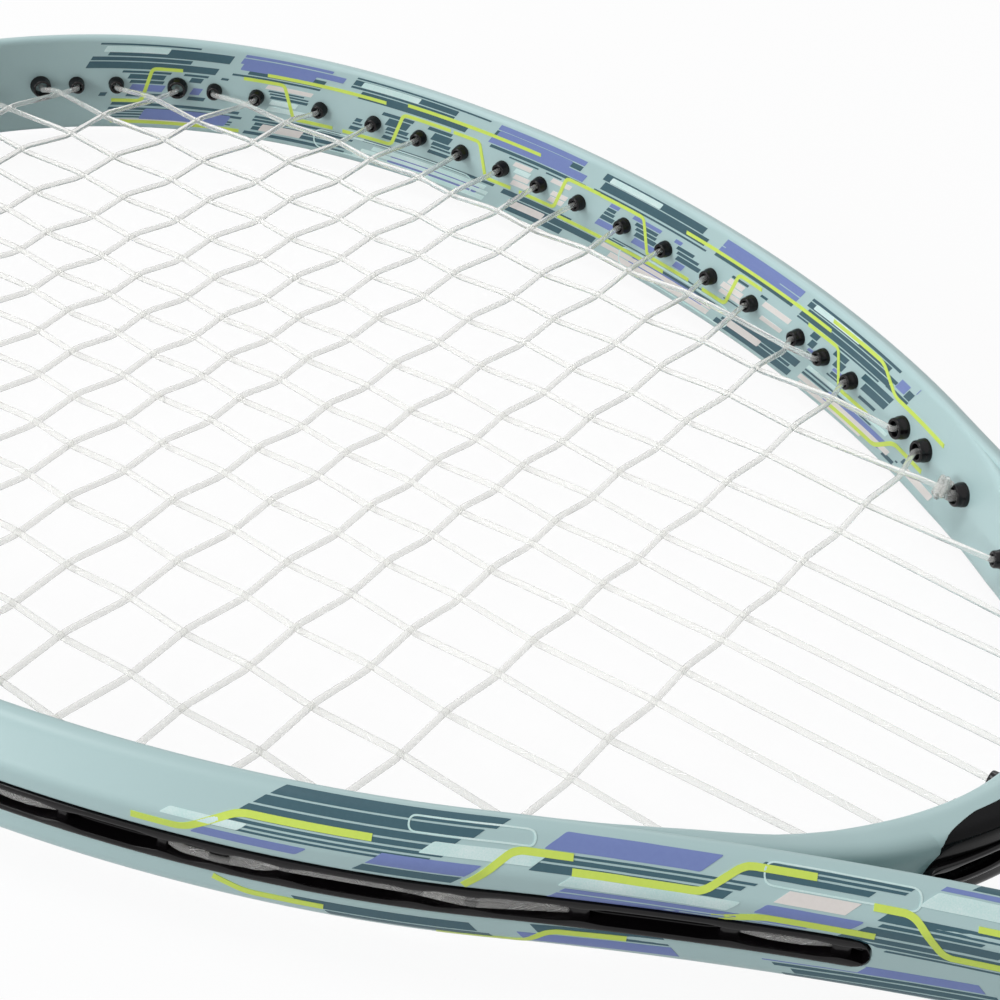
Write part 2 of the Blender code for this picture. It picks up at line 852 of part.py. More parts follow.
def span_points(first, last, side):
    """One string's groove points from hole to hole."""
    start_side = side if shares_hole(first) else 0
    end_side = side if shares_hole(last) else 0
    start = exit_point(first, start_side)
    end = exit_point(last, end_side)
    if first["on_bridge"]:
        return bowed_span(start, bridge_place(between(first, last), groove_low, 0), end)
    low, high = sorted((first["length"], last["length"]))
    passed = [hole for hole in holes.values() if not hole["on_bridge"]
              and low + string_diameter < hole["length"] < high - string_diameter]
    passed.sort(key=lambda hole: hole["length"], reverse=last["length"] < first["length"])
    if not passed:
        middle = groove_point(between(first, last), groove_low, (start_side + end_side) / 2)
        return bowed_span(start, middle, end)
    row = [first] + passed + [last]
    points = [start]
    for i, hole in enumerate(row[1:], 1):
        points.append(groove_point(between(row[i - 1], hole), groove_low, side))
        if i < len(row) - 1:
            points.append(groove_point(hole["length"], groove_high, side))
    return points + [end]


def low_tail(side_end, outer_main, next_main, tie_main):
    """The outermost main's tail in the groove, over three mouths, down to its tie-off hole."""
    start = holes[("main", outer_main, "bottom")]
    second = holes[("cross", 2, side_end)]
    third = holes[("main", next_main, "bottom")]
    fourth = holes[("cross", 1, side_end)]
    last = holes[("main", tie_main, "bottom")]
    return [exit_point(start),
            groove_point(between(start, second), groove_low, 1),
            groove_point(second["length"], groove_high, 1),
            groove_point(third["length"], groove_high, 1),
            groove_point(between(third, fourth), groove_high, 0),
            groove_point(fourth["length"], groove_high, -1),
            exit_point(last, -1)]


def knot_points(hole):
    """A tail that comes out beside a main, winds round it and ends in a stub."""
    along = Vector((0, 1, 0)) if hole["end"] == "bottom" else Vector((0, -1, 0))
    side = along.cross(Vector((0, 0, 1)))
    up = Vector((0, 0, 1))
    mouth = on_hole(hole, -string_radius, -string_step / 2)
    anchor = on_hole(hole, -string_radius, string_step / 2)
    radius = (string_step + 0.05 * mm) / math.cos(math.pi / knot_turn_points)
    points = [mouth]
    count = knot_turns * knot_turn_points
    for i in range(count + 1):
        turn = 2 * math.pi * i / knot_turn_points
        centre = anchor + along * (knot_start + knot_rise * i / knot_turn_points)
        points.append(centre + (side * math.sin(turn) - up * math.cos(turn)) * radius)
    last_turn = 2 * math.pi * count / knot_turn_points
    leave = side * math.cos(last_turn) + up * math.sin(last_turn)
    points.append(points[-1] + (leave + along * 0.6).normalized() * knot_stub)
    return points


low_right_tie = holes[("main", low_tie_mains[0], "bottom")]
low_left_tie = holes[("main", low_tie_mains[1], "bottom")]
cross_low_tie = holes[("main", main_count - 1, "bottom")]
cross_top_tie = holes[("main", top_tie_main, "top")]
shared_holes = {(hole["kind"], hole["number"], hole["end"])
                for hole in (low_right_tie, low_left_tie, cross_low_tie, cross_top_tie)}


def main_string_route():
    """From the knot at the low right, back and forth through all mains, to the low left knot."""
    down_tail = low_tail("right", 1, 2, low_tie_mains[0])
    route = list(reversed(knot_points(low_right_tie))) + list(reversed(down_tail))
    for number in range(1, main_count + 1):
        start, end = ("bottom", "top") if number % 2 == 1 else ("top", "bottom")
        route += inside_points("main", number, start, end)
        if number < main_count:
            here = holes[("main", number, end)]
            there = holes[("main", number + 1, end)]
            route += span_points(here, there, 1)
    up_tail = low_tail("left", main_count, main_count - 1, low_tie_mains[1])
    return route + up_tail + knot_points(low_left_tie)


def cross_string_route():
    """From the knot at the low left, back and forth through all crosses, to the top knot."""
    first = holes[("cross", 1, "left")]
    last = holes[("cross", cross_count, "right")]
    start_tail = [exit_point(first), groove_point(between(first, cross_low_tie), groove_low, -1),
                  exit_point(cross_low_tie, -1)]
    route = list(reversed(knot_points(cross_low_tie))) + list(reversed(start_tail))
    for number in range(1, cross_count + 1):
        start, end = ("left", "right") if number % 2 == 1 else ("right", "left")
        route += inside_points("cross", number, start, end)
        if number < cross_count:
            here = holes[("cross", number, end)]
            there = holes[("cross", number + 1, end)]
            route += span_points(here, there, -1)
    third = holes[("main", 3, "top")]
    fourth = holes[("main", 4, "top")]
    route += [exit_point(last), groove_point(third["length"], groove_high, 0),
              groove_point(between(third, fourth), groove_high, 0),
              groove_point(fourth["length"], groove_high, 0), exit_point(cross_top_tie, -1)]
    return route + knot_points(cross_top_tie)


def segment_gap(a, b, c, d):
    """Least distance between two straight stretches."""
    u, v, w = b - a, d - c, a - c
    uu, uv, vv, uw, vw = u.dot(u), u.dot(v), v.dot(v), u.dot(w), v.dot(w)
    spread = uu * vv - uv * uv
    s = min(max((uv * vw - vv * uw) / spread, 0), 1) if spread > 1e-14 else 0.0
    t = min(max((uv * s + vw) / vv, 0), 1)
    s = min(max((uv * t - uw) / uu, 0), 1)
    return (w + u * s - v * t).length


def least_gap(one, other):
    """Least clear distance between two strings, or within one, its neighbours left out."""
    least = 1.0
    same = one is other
    for i in range(len(one) - 1):
        a, b = one[i], one[i + 1]
        for j in range(i + 3 if same else 0, len(other) - 1):
            c, d = other[j], other[j + 1]
            apart = (a + b - c - d).length - (b - a).length - (d - c).length
            if apart < 2 * least:
                least = min(least, segment_gap(a, b, c, d))
    return (least - string_diameter) / mm


def make_strings(parts, gut):
    mains = main_string_route()
    crosses = cross_string_route()
    tube_along("main_string", mains, string_radius, parts, gut)
    tube_along("cross_string", crosses, string_radius, parts, gut)
    print("string points", len(mains), len(crosses), "least gaps, mm:",
          "main to itself", round(least_gap(mains, mains), 3),
          "cross to itself", round(least_gap(crosses, crosses), 3),
          "main to cross", round(least_gap(mains, crosses), 3))


# Handle

def octagon(out):
    """Corners of the handle's octagon at a distance out from the pallets' surface."""
    a = pallet_half_width + out
    b = pallet_half_height + out
    c = pallet_corner + out * (2 - math.sqrt(2))
    return [(a, b - c), (a - c, b), (c - a, b), (-a, b - c),
            (-a, c - b), (c - a, -b), (a - c, -b), (a, c - b)]


def octagon_ring(y, out):
    return [Vector((x, y, z)) for x, z in octagon(out)]


def prism_along_y(name, outline, start, end, collection, material):
    """Flat outline in x and z, drawn as a filled curve, made as deep as the piece is long."""
    data = bpy.data.curves.new(name, "CURVE")
    data.dimensions = "2D"
    data.fill_mode = "BOTH"
    data.extrude = (end - start) / 2
    spline = data.splines.new("POLY")
    spline.points.add(len(outline) - 1)
    spline.use_cyclic_u = True
    for knob, (x, z) in zip(spline.points, outline):
        knob.co = (x, z, 0.0, 1.0)
    thing = bpy.data.objects.new(name, data)
    thing.location = (0, (start + end) / 2, 0)
    thing.rotation_euler = (math.pi / 2, 0, 0)
    collection.objects.link(thing)
    solid = as_mesh(thing, collection)
    solid.data.materials.clear()
    solid.data.materials.append(material)
    return solid


def staple_route(sign):
    """Staple that straddles the cap's flat, its two legs down into the pallet."""
    z = sign * (pallet_half_height + touch_gap + cap_wall + touch_gap + staple_wire / 2)
    deep = sign * (pallet_half_height - staple_depth)
    half = staple_width / 2
    return [Vector((-half, staple_place, deep)), Vector((-half, staple_place, z)),
            Vector((half, staple_place, z)), Vector((half, staple_place, deep))]


def staple_hole_cutter(name, sign, guides):
    a, b, c, d = staple_route(sign)
    past = Vector((0, 0, sign * 2 * staple_wire))
    below = Vector((0, 0, sign * touch_gap))
    radius = staple_wire / 2 + touch_gap
    rods = [(a - below, b + past, radius), (d - below, c + past, radius)]
    return prisms(name + "_staple_cutter", rods, 8, guides)


def make_pallets(parts, guides, foam):
    """Two half shells of the handle, bonded round the shafts, with holes for the staples."""
    inner_x = shaft_gap / 2 + rim_width + touch_gap
    inner_z = shaft_half_height + touch_gap
    seam = touch_gap / 2
    right, right_top, left_top, left = octagon(0)[:4]
    upper = [(right[0], seam), right, right_top, left_top, left, (left[0], seam),
             (-inner_x, seam), (-inner_x, inner_z), (inner_x, inner_z), (inner_x, seam)]
    for sign, name in ((1, "handle_half_top"), (-1, "handle_half_bottom")):
        shape = [(x, z * sign) for x, z in upper]
        half = prism_along_y(name, shape, pallet_start, pallet_end, parts, foam)
        boolean(half, staple_hole_cutter(name, sign, guides), "DIFFERENCE")
        apply_modifiers(half)


def cap_stand(y):
    """How far the cap's flared outside stands out at a distance from the butt."""
    share = max(0.0, 1 - y / cap_flare_length)
    return cap_flare * share * share


def make_butt_cap(parts, guides, nylon):
    """Cup over the handle's end: inner floor, inner wall, rim, flared outside, end face."""
    rings = [octagon_ring(cap_end_thickness, touch_gap), octagon_ring(cap_length, touch_gap)]
    rings.append(octagon_ring(cap_length, touch_gap + cap_wall - cap_edge))
    for share in (1.0, 0.8, 0.6, 0.4, 0.2, 0.0):
        y = cap_edge + (cap_flare_length - cap_edge) * share
        y = cap_length - cap_edge if share == 1.0 else y
        rings.append(octagon_ring(y, touch_gap + cap_wall + cap_stand(y)))
    rings.append(octagon_ring(0, touch_gap + cap_wall + cap_stand(0) - 2 * cap_edge))
    cap = loft("butt_cap", rings, parts, nylon)
    recess = [(Vector((0, -plug_thickness, 0)), Vector((0, plug_thickness + touch_gap, 0)),
               plug_radius + touch_gap)]
    boolean(cap, prisms("plug_recess_cutter", recess, 32, guides), "DIFFERENCE")
    for sign, name in ((1, "cap_top"), (-1, "cap_bottom")):
        boolean(cap, staple_hole_cutter(name, sign, guides), "DIFFERENCE")
    apply_modifiers(cap)
    smooth(cap, 30)


def make_plug(parts, nylon):
    mesh = bpy.data.meshes.new("butt_plug")
    work = bmesh.new()
    prism_between(work, Vector((0, 0, 0)), Vector((0, plug_thickness, 0)), plug_radius, 32)
    work.to_mesh(mesh)
    work.free()
    smooth(place("butt_plug", mesh, parts, nylon))


def make_staples(parts, steel):
    for sign, name in ((1, "cap_staple_top"), (-1, "cap_staple_bottom")):
        tube_along(name, staple_route(sign), staple_wire / 2, parts, steel)


def make_grip(parts, leather):
    """One band wound round the octagon, trimmed square at both ends, with an open seam."""
    inner = octagon(touch_gap)
    outer = octagon(touch_gap + grip_thickness)
    sides = [math.dist(inner[i], inner[(i + 1) % 8]) for i in range(8)]
    around = sum(sides)
    width = grip_pitch - grip_seam
    rings = []
    corner = -8
    while True:
        turn, side = divmod(corner, 8)
        y = grip_start + grip_pitch * (turn + sum(sides[:side]) / around)
        low = max(y, grip_start)
        high = min(y + width, grip_end)
        if low > grip_end - grip_end_width:
            break
        if high - low >= grip_end_width:
            (xi, zi), (xo, zo) = inner[side], outer[side]
            rings.append([Vector((xi, low, zi)), Vector((xo, low, zo)),
                          Vector((xo, high, zo)), Vector((xi, high, zi))])
        corner += 1
    loft("grip_wrap", rings, parts, leather)
    print("grip corners", len(rings), "gap between turns, mm", round(grip_seam / mm, 3))


def make_tape_and_collar(parts, tape, rubber):
    on_grip = touch_gap + grip_thickness + touch_gap
    start = grip_end - tape_length
    profile = [(start, on_grip), (start, on_grip + tape_thickness),
               (grip_end, on_grip + tape_thickness), (grip_end, on_grip)]
    loft("finishing_tape", [octagon_ring(y, out) for y, out in profile], parts, tape, closed=True)
    start = grip_end + touch_gap
    end = start + collar_length
    profile = [(start, touch_gap), (start, touch_gap + grip_thickness),
               (start + collar_length / 2, touch_gap + grip_thickness),
               (end, touch_gap + collar_tip_thickness), (end, touch_gap)]
    loft("grip_collar", [octagon_ring(y, out) for y, out in profile], parts, rubber, closed=True)


def build():
    clear_scene()
    parts = make_collection("soft_tennis_racket")
    guides = make_collection("cutters")
    paint = make_material("frame_paint", (0.43, 0.61, 0.62), 0.3)
    bridge_paint = make_material("bridge_paint", (0.43, 0.61, 0.62), 0.3)
    black = make_material("grommet_nylon", (0.012, 0.013, 0.015), 0.35)
    gut = make_material("string_gut", (0.82, 0.82, 0.76), 0.3)
    foam = make_material("handle_foam", (0.12, 0.12, 0.13), 0.8)
    nylon = make_material("cap_nylon", (0.02, 0.02, 0.022), 0.4)
    steel = make_material("staple_steel", (0.6, 0.6, 0.6), 0.3, 1.0)
    leather = make_material("grip_leather", (0.9, 0.9, 0.9), 0.7)
    tape = make_material("tape_vinyl", (0.03, 0.03, 0.03), 0.5)
    rubber = make_material("collar_rubber", (0.02, 0.02, 0.02), 0.6)
    make_frame(parts, guides, paint)
    make_bridge(parts, guides, bridge_paint)
    make_strips(parts, guides, black)
    make_strings(parts, gut)
    make_pallets(parts, guides, foam)
    make_butt_cap(parts, guides, nylon)
    make_plug(parts, nylon)
    make_staples(parts, steel)
    make_grip(parts, leather)
    make_tape_and_collar(parts, tape, rubber)


build()
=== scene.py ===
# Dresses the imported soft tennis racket: painted hoop, arms and bridge with printed trim, nylon
# grommet strips, woven strings with their knots, and the handle with its cap, grip and tape.
# Metres, +Y from the butt to the tip, +Z up through the string bed.

import bisect
import math
import random

import bmesh
import bpy
from mathutils import Matrix, Vector


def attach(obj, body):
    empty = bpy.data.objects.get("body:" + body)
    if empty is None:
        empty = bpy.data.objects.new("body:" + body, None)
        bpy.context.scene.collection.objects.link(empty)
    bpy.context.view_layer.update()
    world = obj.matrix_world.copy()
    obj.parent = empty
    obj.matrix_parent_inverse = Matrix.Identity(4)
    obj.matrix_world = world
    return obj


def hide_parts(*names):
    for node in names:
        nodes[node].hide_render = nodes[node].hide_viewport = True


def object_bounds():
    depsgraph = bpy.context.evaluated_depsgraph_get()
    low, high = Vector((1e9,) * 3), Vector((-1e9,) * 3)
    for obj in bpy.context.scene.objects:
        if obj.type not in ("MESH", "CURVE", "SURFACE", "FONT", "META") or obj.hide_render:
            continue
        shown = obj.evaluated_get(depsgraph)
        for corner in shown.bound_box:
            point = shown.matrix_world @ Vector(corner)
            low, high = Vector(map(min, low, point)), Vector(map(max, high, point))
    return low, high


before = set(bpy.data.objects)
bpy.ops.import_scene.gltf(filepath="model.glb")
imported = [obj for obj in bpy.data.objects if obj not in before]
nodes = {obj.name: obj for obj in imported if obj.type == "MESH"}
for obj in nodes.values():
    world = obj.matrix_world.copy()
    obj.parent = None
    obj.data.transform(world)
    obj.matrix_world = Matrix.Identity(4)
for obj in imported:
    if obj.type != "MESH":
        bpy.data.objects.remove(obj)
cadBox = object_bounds()
mm = 0.001


def inMm(values):
    # one number or nested rows of numbers, given in mm, as metres
    return [inMm(value) for value in values] if isinstance(values, (list, tuple)) else values * mm


def clamp(value, low=0.0, high=1.0):
    return min(max(value, low), high)


def runningLengths(points):
    lengths = [0.0]
    for before, after in zip(points, points[1:]):
        lengths.append(lengths[-1] + (after - before).length)
    return lengths


def spotOn(lengths, wanted):
    # the stretch of a run that holds a length, and the share of that stretch
    low = clamp(bisect.bisect_right(lengths, wanted) - 1, 0, len(lengths) - 2)
    return low, (wanted - lengths[low]) / max(lengths[low + 1] - lengths[low], 1e-9)


# Plan of the racket, as the solids have it: the head's inner wall and the two arms' inner walls.

plan = {
    "headHalfWidth": 118.3 * mm,
    "upperReach": 130.8 * mm,
    "lowerReach": 187.3 * mm,
    "upperPower": 2.3,
    "lowerPower": 1.8,
    "widestLine": 545.2 * mm,
    "splitHalfWidth": 0.66 * 118.3 * mm,  # where the arms leave the head
    "leadShare": 0.28,
    "finishShare": 0.34,
    "shaftHalfGap": 0.8 * mm,
    "shaftStart": 206 * mm,
    "shaftEnd": 8 * mm,
    "headSteps": 1200,
    "armSteps": 240,
    "wallSteps": 1440,
}


def signedPower(value, power):
    return math.copysign(abs(value) ** power, value)


def headPart(isUpper):
    part = "upper" if isUpper else "lower"
    return plan[part + "Power"], plan[part + "Reach"]


def headPoint(angle):
    power, reach = headPart(math.sin(angle) > 0)
    x = plan["headHalfWidth"] * signedPower(math.cos(angle), 2 / power)
    return Vector((x, plan["widestLine"] + reach * signedPower(math.sin(angle), 2 / power)))


def headNormal(point):
    rise = point.y - plan["widestLine"]
    power, reach = headPart(rise > 0)
    nx = signedPower(point.x / plan["headHalfWidth"], power - 1) / plan["headHalfWidth"]
    return Vector((nx, signedPower(rise / reach, power - 1) / reach)).normalized()


def headLowerY(x):
    share = max(0.0, 1 - abs(x / plan["headHalfWidth"]) ** plan["lowerPower"])
    return plan["widestLine"] - plan["lowerReach"] * share ** (1 / plan["lowerPower"])


def rightWall(steps):
    return [headPoint(math.pi / 2 - math.pi * i / steps) for i in range(steps + 1)]


def bezier(cage, t):
    a, b, c, d = cage
    s = 1 - t
    return a * s ** 3 + b * 3 * s * s * t + c * 3 * s * t * t + d * t ** 3


def rightPath():
    # from the tip's middle, down the right side, to the shaft's end
    points = []
    for point in rightWall(plan["headSteps"]):
        if point.y < plan["widestLine"] and point.x < plan["splitHalfWidth"]:
            break
        points.append(point)
    last = points[-1]
    normal = headNormal(last)
    shaftTop = Vector((plan["shaftHalfGap"], plan["shaftStart"]))
    reach = (last - shaftTop).length
    lead = Vector((normal.y, -normal.x)) * plan["leadShare"] * reach
    cage = [last, last + lead, shaftTop + Vector((0, plan["finishShare"] * reach)), shaftTop]
    points += [bezier(cage, i / plan["armSteps"]) for i in range(1, plan["armSteps"] + 1)]
    return points + [Vector((plan["shaftHalfGap"], plan["shaftEnd"]))]


rimPoints = rightPath()
rimLengths = runningLengths(rimPoints)
rimTotal = rimLengths[-1]
shaftLength = rimLengths[-2]
wallPoints = rightWall(plan["wallSteps"])
wallLengths = runningLengths(wallPoints)


def rimLengthWhere(test):
    return next(length for length, point in zip(rimLengths, rimPoints) if test(point))


def rimFrame(length):
    # inner wall point and outward direction at a length from the tip, right side positive
    side = 1 if length >= 0 else -1
    wanted = min(abs(length), rimTotal)
    low, share = spotOn(rimLengths, wanted)
    point = rimPoints[low].lerp(rimPoints[low + 1], share)
    along = rimPoints[min(low + 2, len(rimPoints) - 1)] - rimPoints[max(low - 1, 0)]
    outward = Vector((-along.y, along.x)).normalized() if wanted > 1e-6 else Vector((0, 1))
    return Vector((point.x * side, point.y)), Vector((outward.x * side, outward.y))


def rimPlace(length, reach, z=0.0):
    point, outward = rimFrame(length)
    flat = point + outward * reach
    return Vector((flat.x, flat.y, z))


splitLength = rimLengthWhere(lambda p: p.y < plan["widestLine"] and p.x <= plan["splitHalfWidth"] * 1.002)


# Sizes that the rim, the strips and the strings share.

rim = {
    "width": 8.2 * mm,
    "halfHeight": 12.5 * mm,
    "shaftHalfHeight": 9.5 * mm,
    "innerRound": 1.75 * mm,
    "crownAt": 3.2 * mm,  # where the flat top turns down to the flank
    "crownDrop": 0.3 * mm,
    "crownRound": 1.7 * mm,
    "shoulderHeight": 6.76 * mm,
    "shoulderRound": 1.3 * mm,
    "mouthRound": 0.9 * mm,
    "channelDepth": 3.7 * mm,
    "channelHalf": 2.8 * mm,
    "channelEndRise": 5.5 * mm,
    "leastHalf": 0.3 * mm,  # half height at which the groove's round end closes
    "ringStep": 3.0 * mm,
    "endStep": 0.2 * mm,
    "endClear": 0.4 * mm,
    "endFace": 0.05 * mm,
    "shaftStep": 9 * mm,
    "searchStep": 1.5 * mm,
    "searchCount": 290,
}
bridge = {
    "halfSpan": 77.6 * mm,
    "thickness": 8.6 * mm,
    "grooveEnd": 32.4 * mm,
    "mouthRound": 0.4 * mm,
    "lift": 0.9 * mm,  # the inner wall lies this far inside the head's curve, and twice in the middle
    "liftEnd": 70 * mm,
    "liftFade": 12 * mm,
    "liftSpread": 15 * mm,
    "endDrop": 0.3 * mm,
    "endDropFrom": 73 * mm,
    "endDropFade": 4 * mm,
    "runHalf": 48,
    # from the centre line outwards, mm: where, inner height and rounding, back height and rounding
    "stations": [(0, 7.6, 4.2, 7.0, 4.4), (30, 7.7, 4.3, 7.1, 4.6), (42, 8.0, 4.4, 7.6, 5.0),
                 (50, 8.8, 4.0, 8.6, 5.2), (55, 9.7, 3.6, 9.4, 5.0), (60, 10.6, 3.0, 10.1, 3.8),
                 (66, 11.5, 2.4, 10.3, 2.8), (72, 12.1, 2.0, 10.2, 2.0), (78, 12.4, 1.75, 10.0, 1.5)],
    "ringStep": 1.2 * mm,
    "fineBefore": 3.2 * mm,  # finer rings from here before the groove's end to here after it
    "fineAfter": 0.2 * mm,
    "fineStep": 0.25 * mm,
    "blackReach": (0.02 * mm, 3.8 * mm),
    "blackHalf": 3.25 * mm,
}
strings = {
    "mainCount": 16,
    "mainGrowth": 0.079,
    "outerFromWall": 20.2 * mm,
    "crossGaps": [24.2, 17.5, 15.2, 13.2, 14.5, 13.2, 14.2, 12.0,
                  11.4, 12.2, 12.1, 12.8, 14.2, 15.5, 17.2, 17.9],
    "firstCross": 58.1 * mm,
    "lastCross": 22.3 * mm,
    "lowSlides": [-2.4 * mm, 3.0 * mm, 4.2 * mm, 2.9 * mm],
    "leastSpacing": 8.2 * mm,
    "cornerExit": 4.5 * mm,  # a slanted main comes out this far before the groove's end
    "radius": 0.625 * mm,
    "spanRise": 0.9 * mm,  # a string between two holes stands this far off the groove's floor
    "spanRound": 1.5 * mm,
    "spanShares": (0.35, 0.65),
    "mainWave": 0.56 * mm,
    "crossWave": 0.86 * mm,
    "kink": 1.7 * mm,  # a string's bend starts this far from the middle of a crossing
    "wallClear": 4.2 * mm,
    "pairHalfGap": 0.655 * mm,  # two strings side by side in one hole or groove
    "pairJoin": 6.5 * mm,
    "barrelReach": 2.6 * mm,
    "mouthDepth": 0.6 * mm,
    "mouthLead": 0.2 * mm,
    "tailLead": 0.3 * mm,
    "floor": 5.6 * mm,  # the strip's floor, out from the rim's inner wall
    "leastStep": 0.12 * mm,
    "sides": 10,
}
groove = {
    "low": strings["floor"] + strings["radius"] + 0.05 * mm,
    "high": strings["floor"] + 3 * strings["radius"] + 0.1 * mm,
}
bridgeInner = plan["widestLine"] - plan["lowerReach"]
channelEnd = rimLengthWhere(lambda p: p.y < bridgeInner + rim["channelEndRise"])
halfMains = strings["mainCount"] // 2
crossCount = len(strings["crossGaps"]) + 1


def mainX(number):
    steps = [1 + strings["mainGrowth"] * k for k in range(halfMains)]
    placeOf = [steps[0] / 2 + sum(steps[1:k + 1]) for k in range(halfMains)]
    scale = (plan["headHalfWidth"] - strings["outerFromWall"]) / placeOf[-1]
    if number <= halfMains:
        return placeOf[halfMains - number] * scale
    return -placeOf[number - halfMains - 1] * scale


def crossY(number):
    first = bridgeInner + strings["firstCross"]
    last = plan["widestLine"] + plan["upperReach"] - strings["lastCross"]
    gaps = strings["crossGaps"]
    return first + (last - first) * sum(gaps[:number - 1]) / sum(gaps)


armMiddles = [rimPlace(length * mm, rim["width"] / 2) for length in range(330, 566, 2)]


def armMiddleY(x):
    # height of an arm's middle line at a distance from the centre line
    for a, b in zip(armMiddles, armMiddles[1:]):
        if b.x <= abs(x) <= a.x and b.x < a.x:
            return a.y + (b.y - a.y) * (a.x - abs(x)) / (a.x - b.x)
    return 0.0


def bridgeBackY(x):
    return max(headLowerY(x) - bridge["thickness"], armMiddleY(x))


def bridgeLift(x):
    fade = clamp((bridge["liftEnd"] - abs(x)) / bridge["liftFade"])
    return bridge["lift"] * (fade * fade * (3 - 2 * fade) + math.exp(-(x / bridge["liftSpread"]) ** 2))


bridgeMains = [6, 7, 8, 9, 10, 11]
cornerMains = [5, 12]
bumperHalfWidth = (mainX(4) + mainX(3)) / 2
bumperEnd = rimLengthWhere(lambda p: p.x >= bumperHalfWidth)
wideBarrels = {("main", n, "bottom") for n in (2, 3, 14, 15)} | {("main", n, "top") for n in (3, 14, 5, 12)}
wideBarrels |= {("cross", n, end) for n in (1, crossCount - 1) for end in ("left", "right")}
sharedHoles = {("main", n, "bottom") for n in (3, 14, 15)} | {("main", 5, "top")}


# Holes: each runs from its barrel's tip, inside the head, straight outwards to the groove.

def wallLengthWhere(axis, value, keep):
    for i, (a, b) in enumerate(zip(wallPoints, wallPoints[1:])):
        if (a[axis] - value) * (b[axis] - value) <= 0 and a[axis] != b[axis] and keep(a):
            share = (value - a[axis]) / (b[axis] - a[axis])
            return wallLengths[i] + (wallLengths[i + 1] - wallLengths[i]) * share
    raise ValueError("this string misses the head's wall")


def holeLengths():
    lengths = {}
    middle = plan["widestLine"]
    for number in range(1, halfMains + 1):
        for end, above in (("top", True), ("bottom", False)):
            where = wallLengthWhere(0, mainX(number), lambda p: (p.y > middle) == above)
            lengths[("main", number, end)] = where
    for number, slide in enumerate(strings["lowSlides"], 1):
        lengths[("main", number, "bottom")] -= slide
    for number in range(1, crossCount + 1):
        lengths[("cross", number, "right")] = wallLengthWhere(1, crossY(number), lambda p: p.x > 0)
    order = sorted(lengths, key=lengths.get)
    for _ in order:
        for one, other in zip(order, order[1:]):
            short = max(0.0, strings["leastSpacing"] - (lengths[other] - lengths[one]))
            lengths[one] -= short / 2
            lengths[other] += short / 2
    return lengths


def rayToRim(start, direction, reach):
    # distance along a ray, and rim length, where it first comes to a reach out from the inner wall
    side = 1 if start.x >= 0 else -1
    best = None
    lengths = [side * i * rim["searchStep"] for i in range(rim["searchCount"])]
    row = [(length, rimPlace(length, reach).xy) for length in lengths]
    for (nearLength, a), (farLength, b) in zip(row, row[1:]):
        run = b - a
        offset = a - start
        cross = direction.x * run.y - direction.y * run.x
        if abs(cross) > 1e-12:
            along = (offset.x * run.y - offset.y * run.x) / cross
            share = (offset.x * direction.y - offset.y * direction.x) / cross
            if along > 0 and 0 <= share <= 1 and (best is None or along < best[0]):
                best = (along, nearLength + (farLength - nearLength) * share)
    return best


def holeAt(kind, number, end):
    lowMain = kind == "main" and end == "bottom"
    if kind == "main":
        side = 1 if number <= halfMains else -1
        twin = (kind, min(number, strings["mainCount"] + 1 - number), end)
    else:
        side = 1 if end == "right" else -1
        twin = (kind, number, "right")
    low, share = spotOn(wallLengths, rightLengths[twin])
    wall = wallPoints[low].lerp(wallPoints[low + 1], share)
    normal = headNormal(wall)
    if lowMain:
        wall.y += bridgeLift(wall.x)
    wall.x *= side
    normal.x *= side
    key = (kind, number, end)
    hole = {"kind": kind, "end": end, "wide": key in wideBarrels, "shared": key in sharedHoles,
            "onBridge": lowMain and number in bridgeMains}
    if hole["onBridge"]:
        hole.update(tip=wall + Vector((0, strings["barrelReach"])), outward=Vector((0, -1)))
        hole["exitDepth"] = hole["tip"].y - bridgeBackY(wall.x) - rim["width"] + groove["low"]
        hole["length"] = bridgeLengthAt(wall.x)
        return hole
    hole["tip"] = wall - normal * strings["barrelReach"]
    hole["outward"] = normal
    if lowMain and number in cornerMains:  # slants to come out before the groove's end
        exitAt = rimPlace(side * (channelEnd - strings["cornerExit"]), groove["low"]).xy
        hole["outward"] = (exitAt - hole["tip"]).normalized()
    hole["exitDepth"], hole["length"] = rayToRim(hole["tip"], hole["outward"], groove["low"])
    return hole


# the bridge's groove runs from right to left, so that outwards is towards the throat
runHalf = bridge["runHalf"]
bridgeRun = [Vector((x * mm, bridgeBackY(x * mm) + rim["width"])) for x in range(runHalf, -runHalf - 1, -1)]
bridgeRunLengths = runningLengths(bridgeRun)
bridgeRunTotal = bridgeRunLengths[-1]


def bridgeLengthAt(x):
    place = runHalf - x / mm
    low = min(int(place), len(bridgeRun) - 2)
    share = place - low
    length = bridgeRunLengths[low] * (1 - share) + bridgeRunLengths[low + 1] * share
    return length - bridgeRunTotal / 2


rightLengths = holeLengths()
holes = {}
for kind, count, ends in (("main", strings["mainCount"], ("bottom", "top")),
                          ("cross", crossCount, ("left", "right"))):
    for number in range(1, count + 1):
        for end in ends:
            holes[(kind, number, end)] = holeAt(kind, number, end)


def onHole(hole, distance, z=0.0):
    flat = hole["tip"] + hole["outward"] * distance
    return Vector((flat.x, flat.y, z))


def groovePlace(hole, reach, z=0.0):
    if hole["onBridge"]:
        return onHole(hole, hole["exitDepth"] + reach - groove["low"], z)
    return rimPlace(hole["length"], reach, z)


print("plan done: rim", round(2 * rimTotal, 3), "m,", len(holes), "holes")


# Meshes and outlines

def addObject(name, data):
    thing = bpy.data.objects.new(name, data)
    bpy.context.scene.collection.objects.link(thing)
    return thing


def placeMesh(name, vertices, faces, edges=()):
    mesh = bpy.data.meshes.new(name)
    mesh.from_pydata([tuple(v) for v in vertices], edges, faces)
    mesh.shade_smooth()
    return addObject(name, mesh)


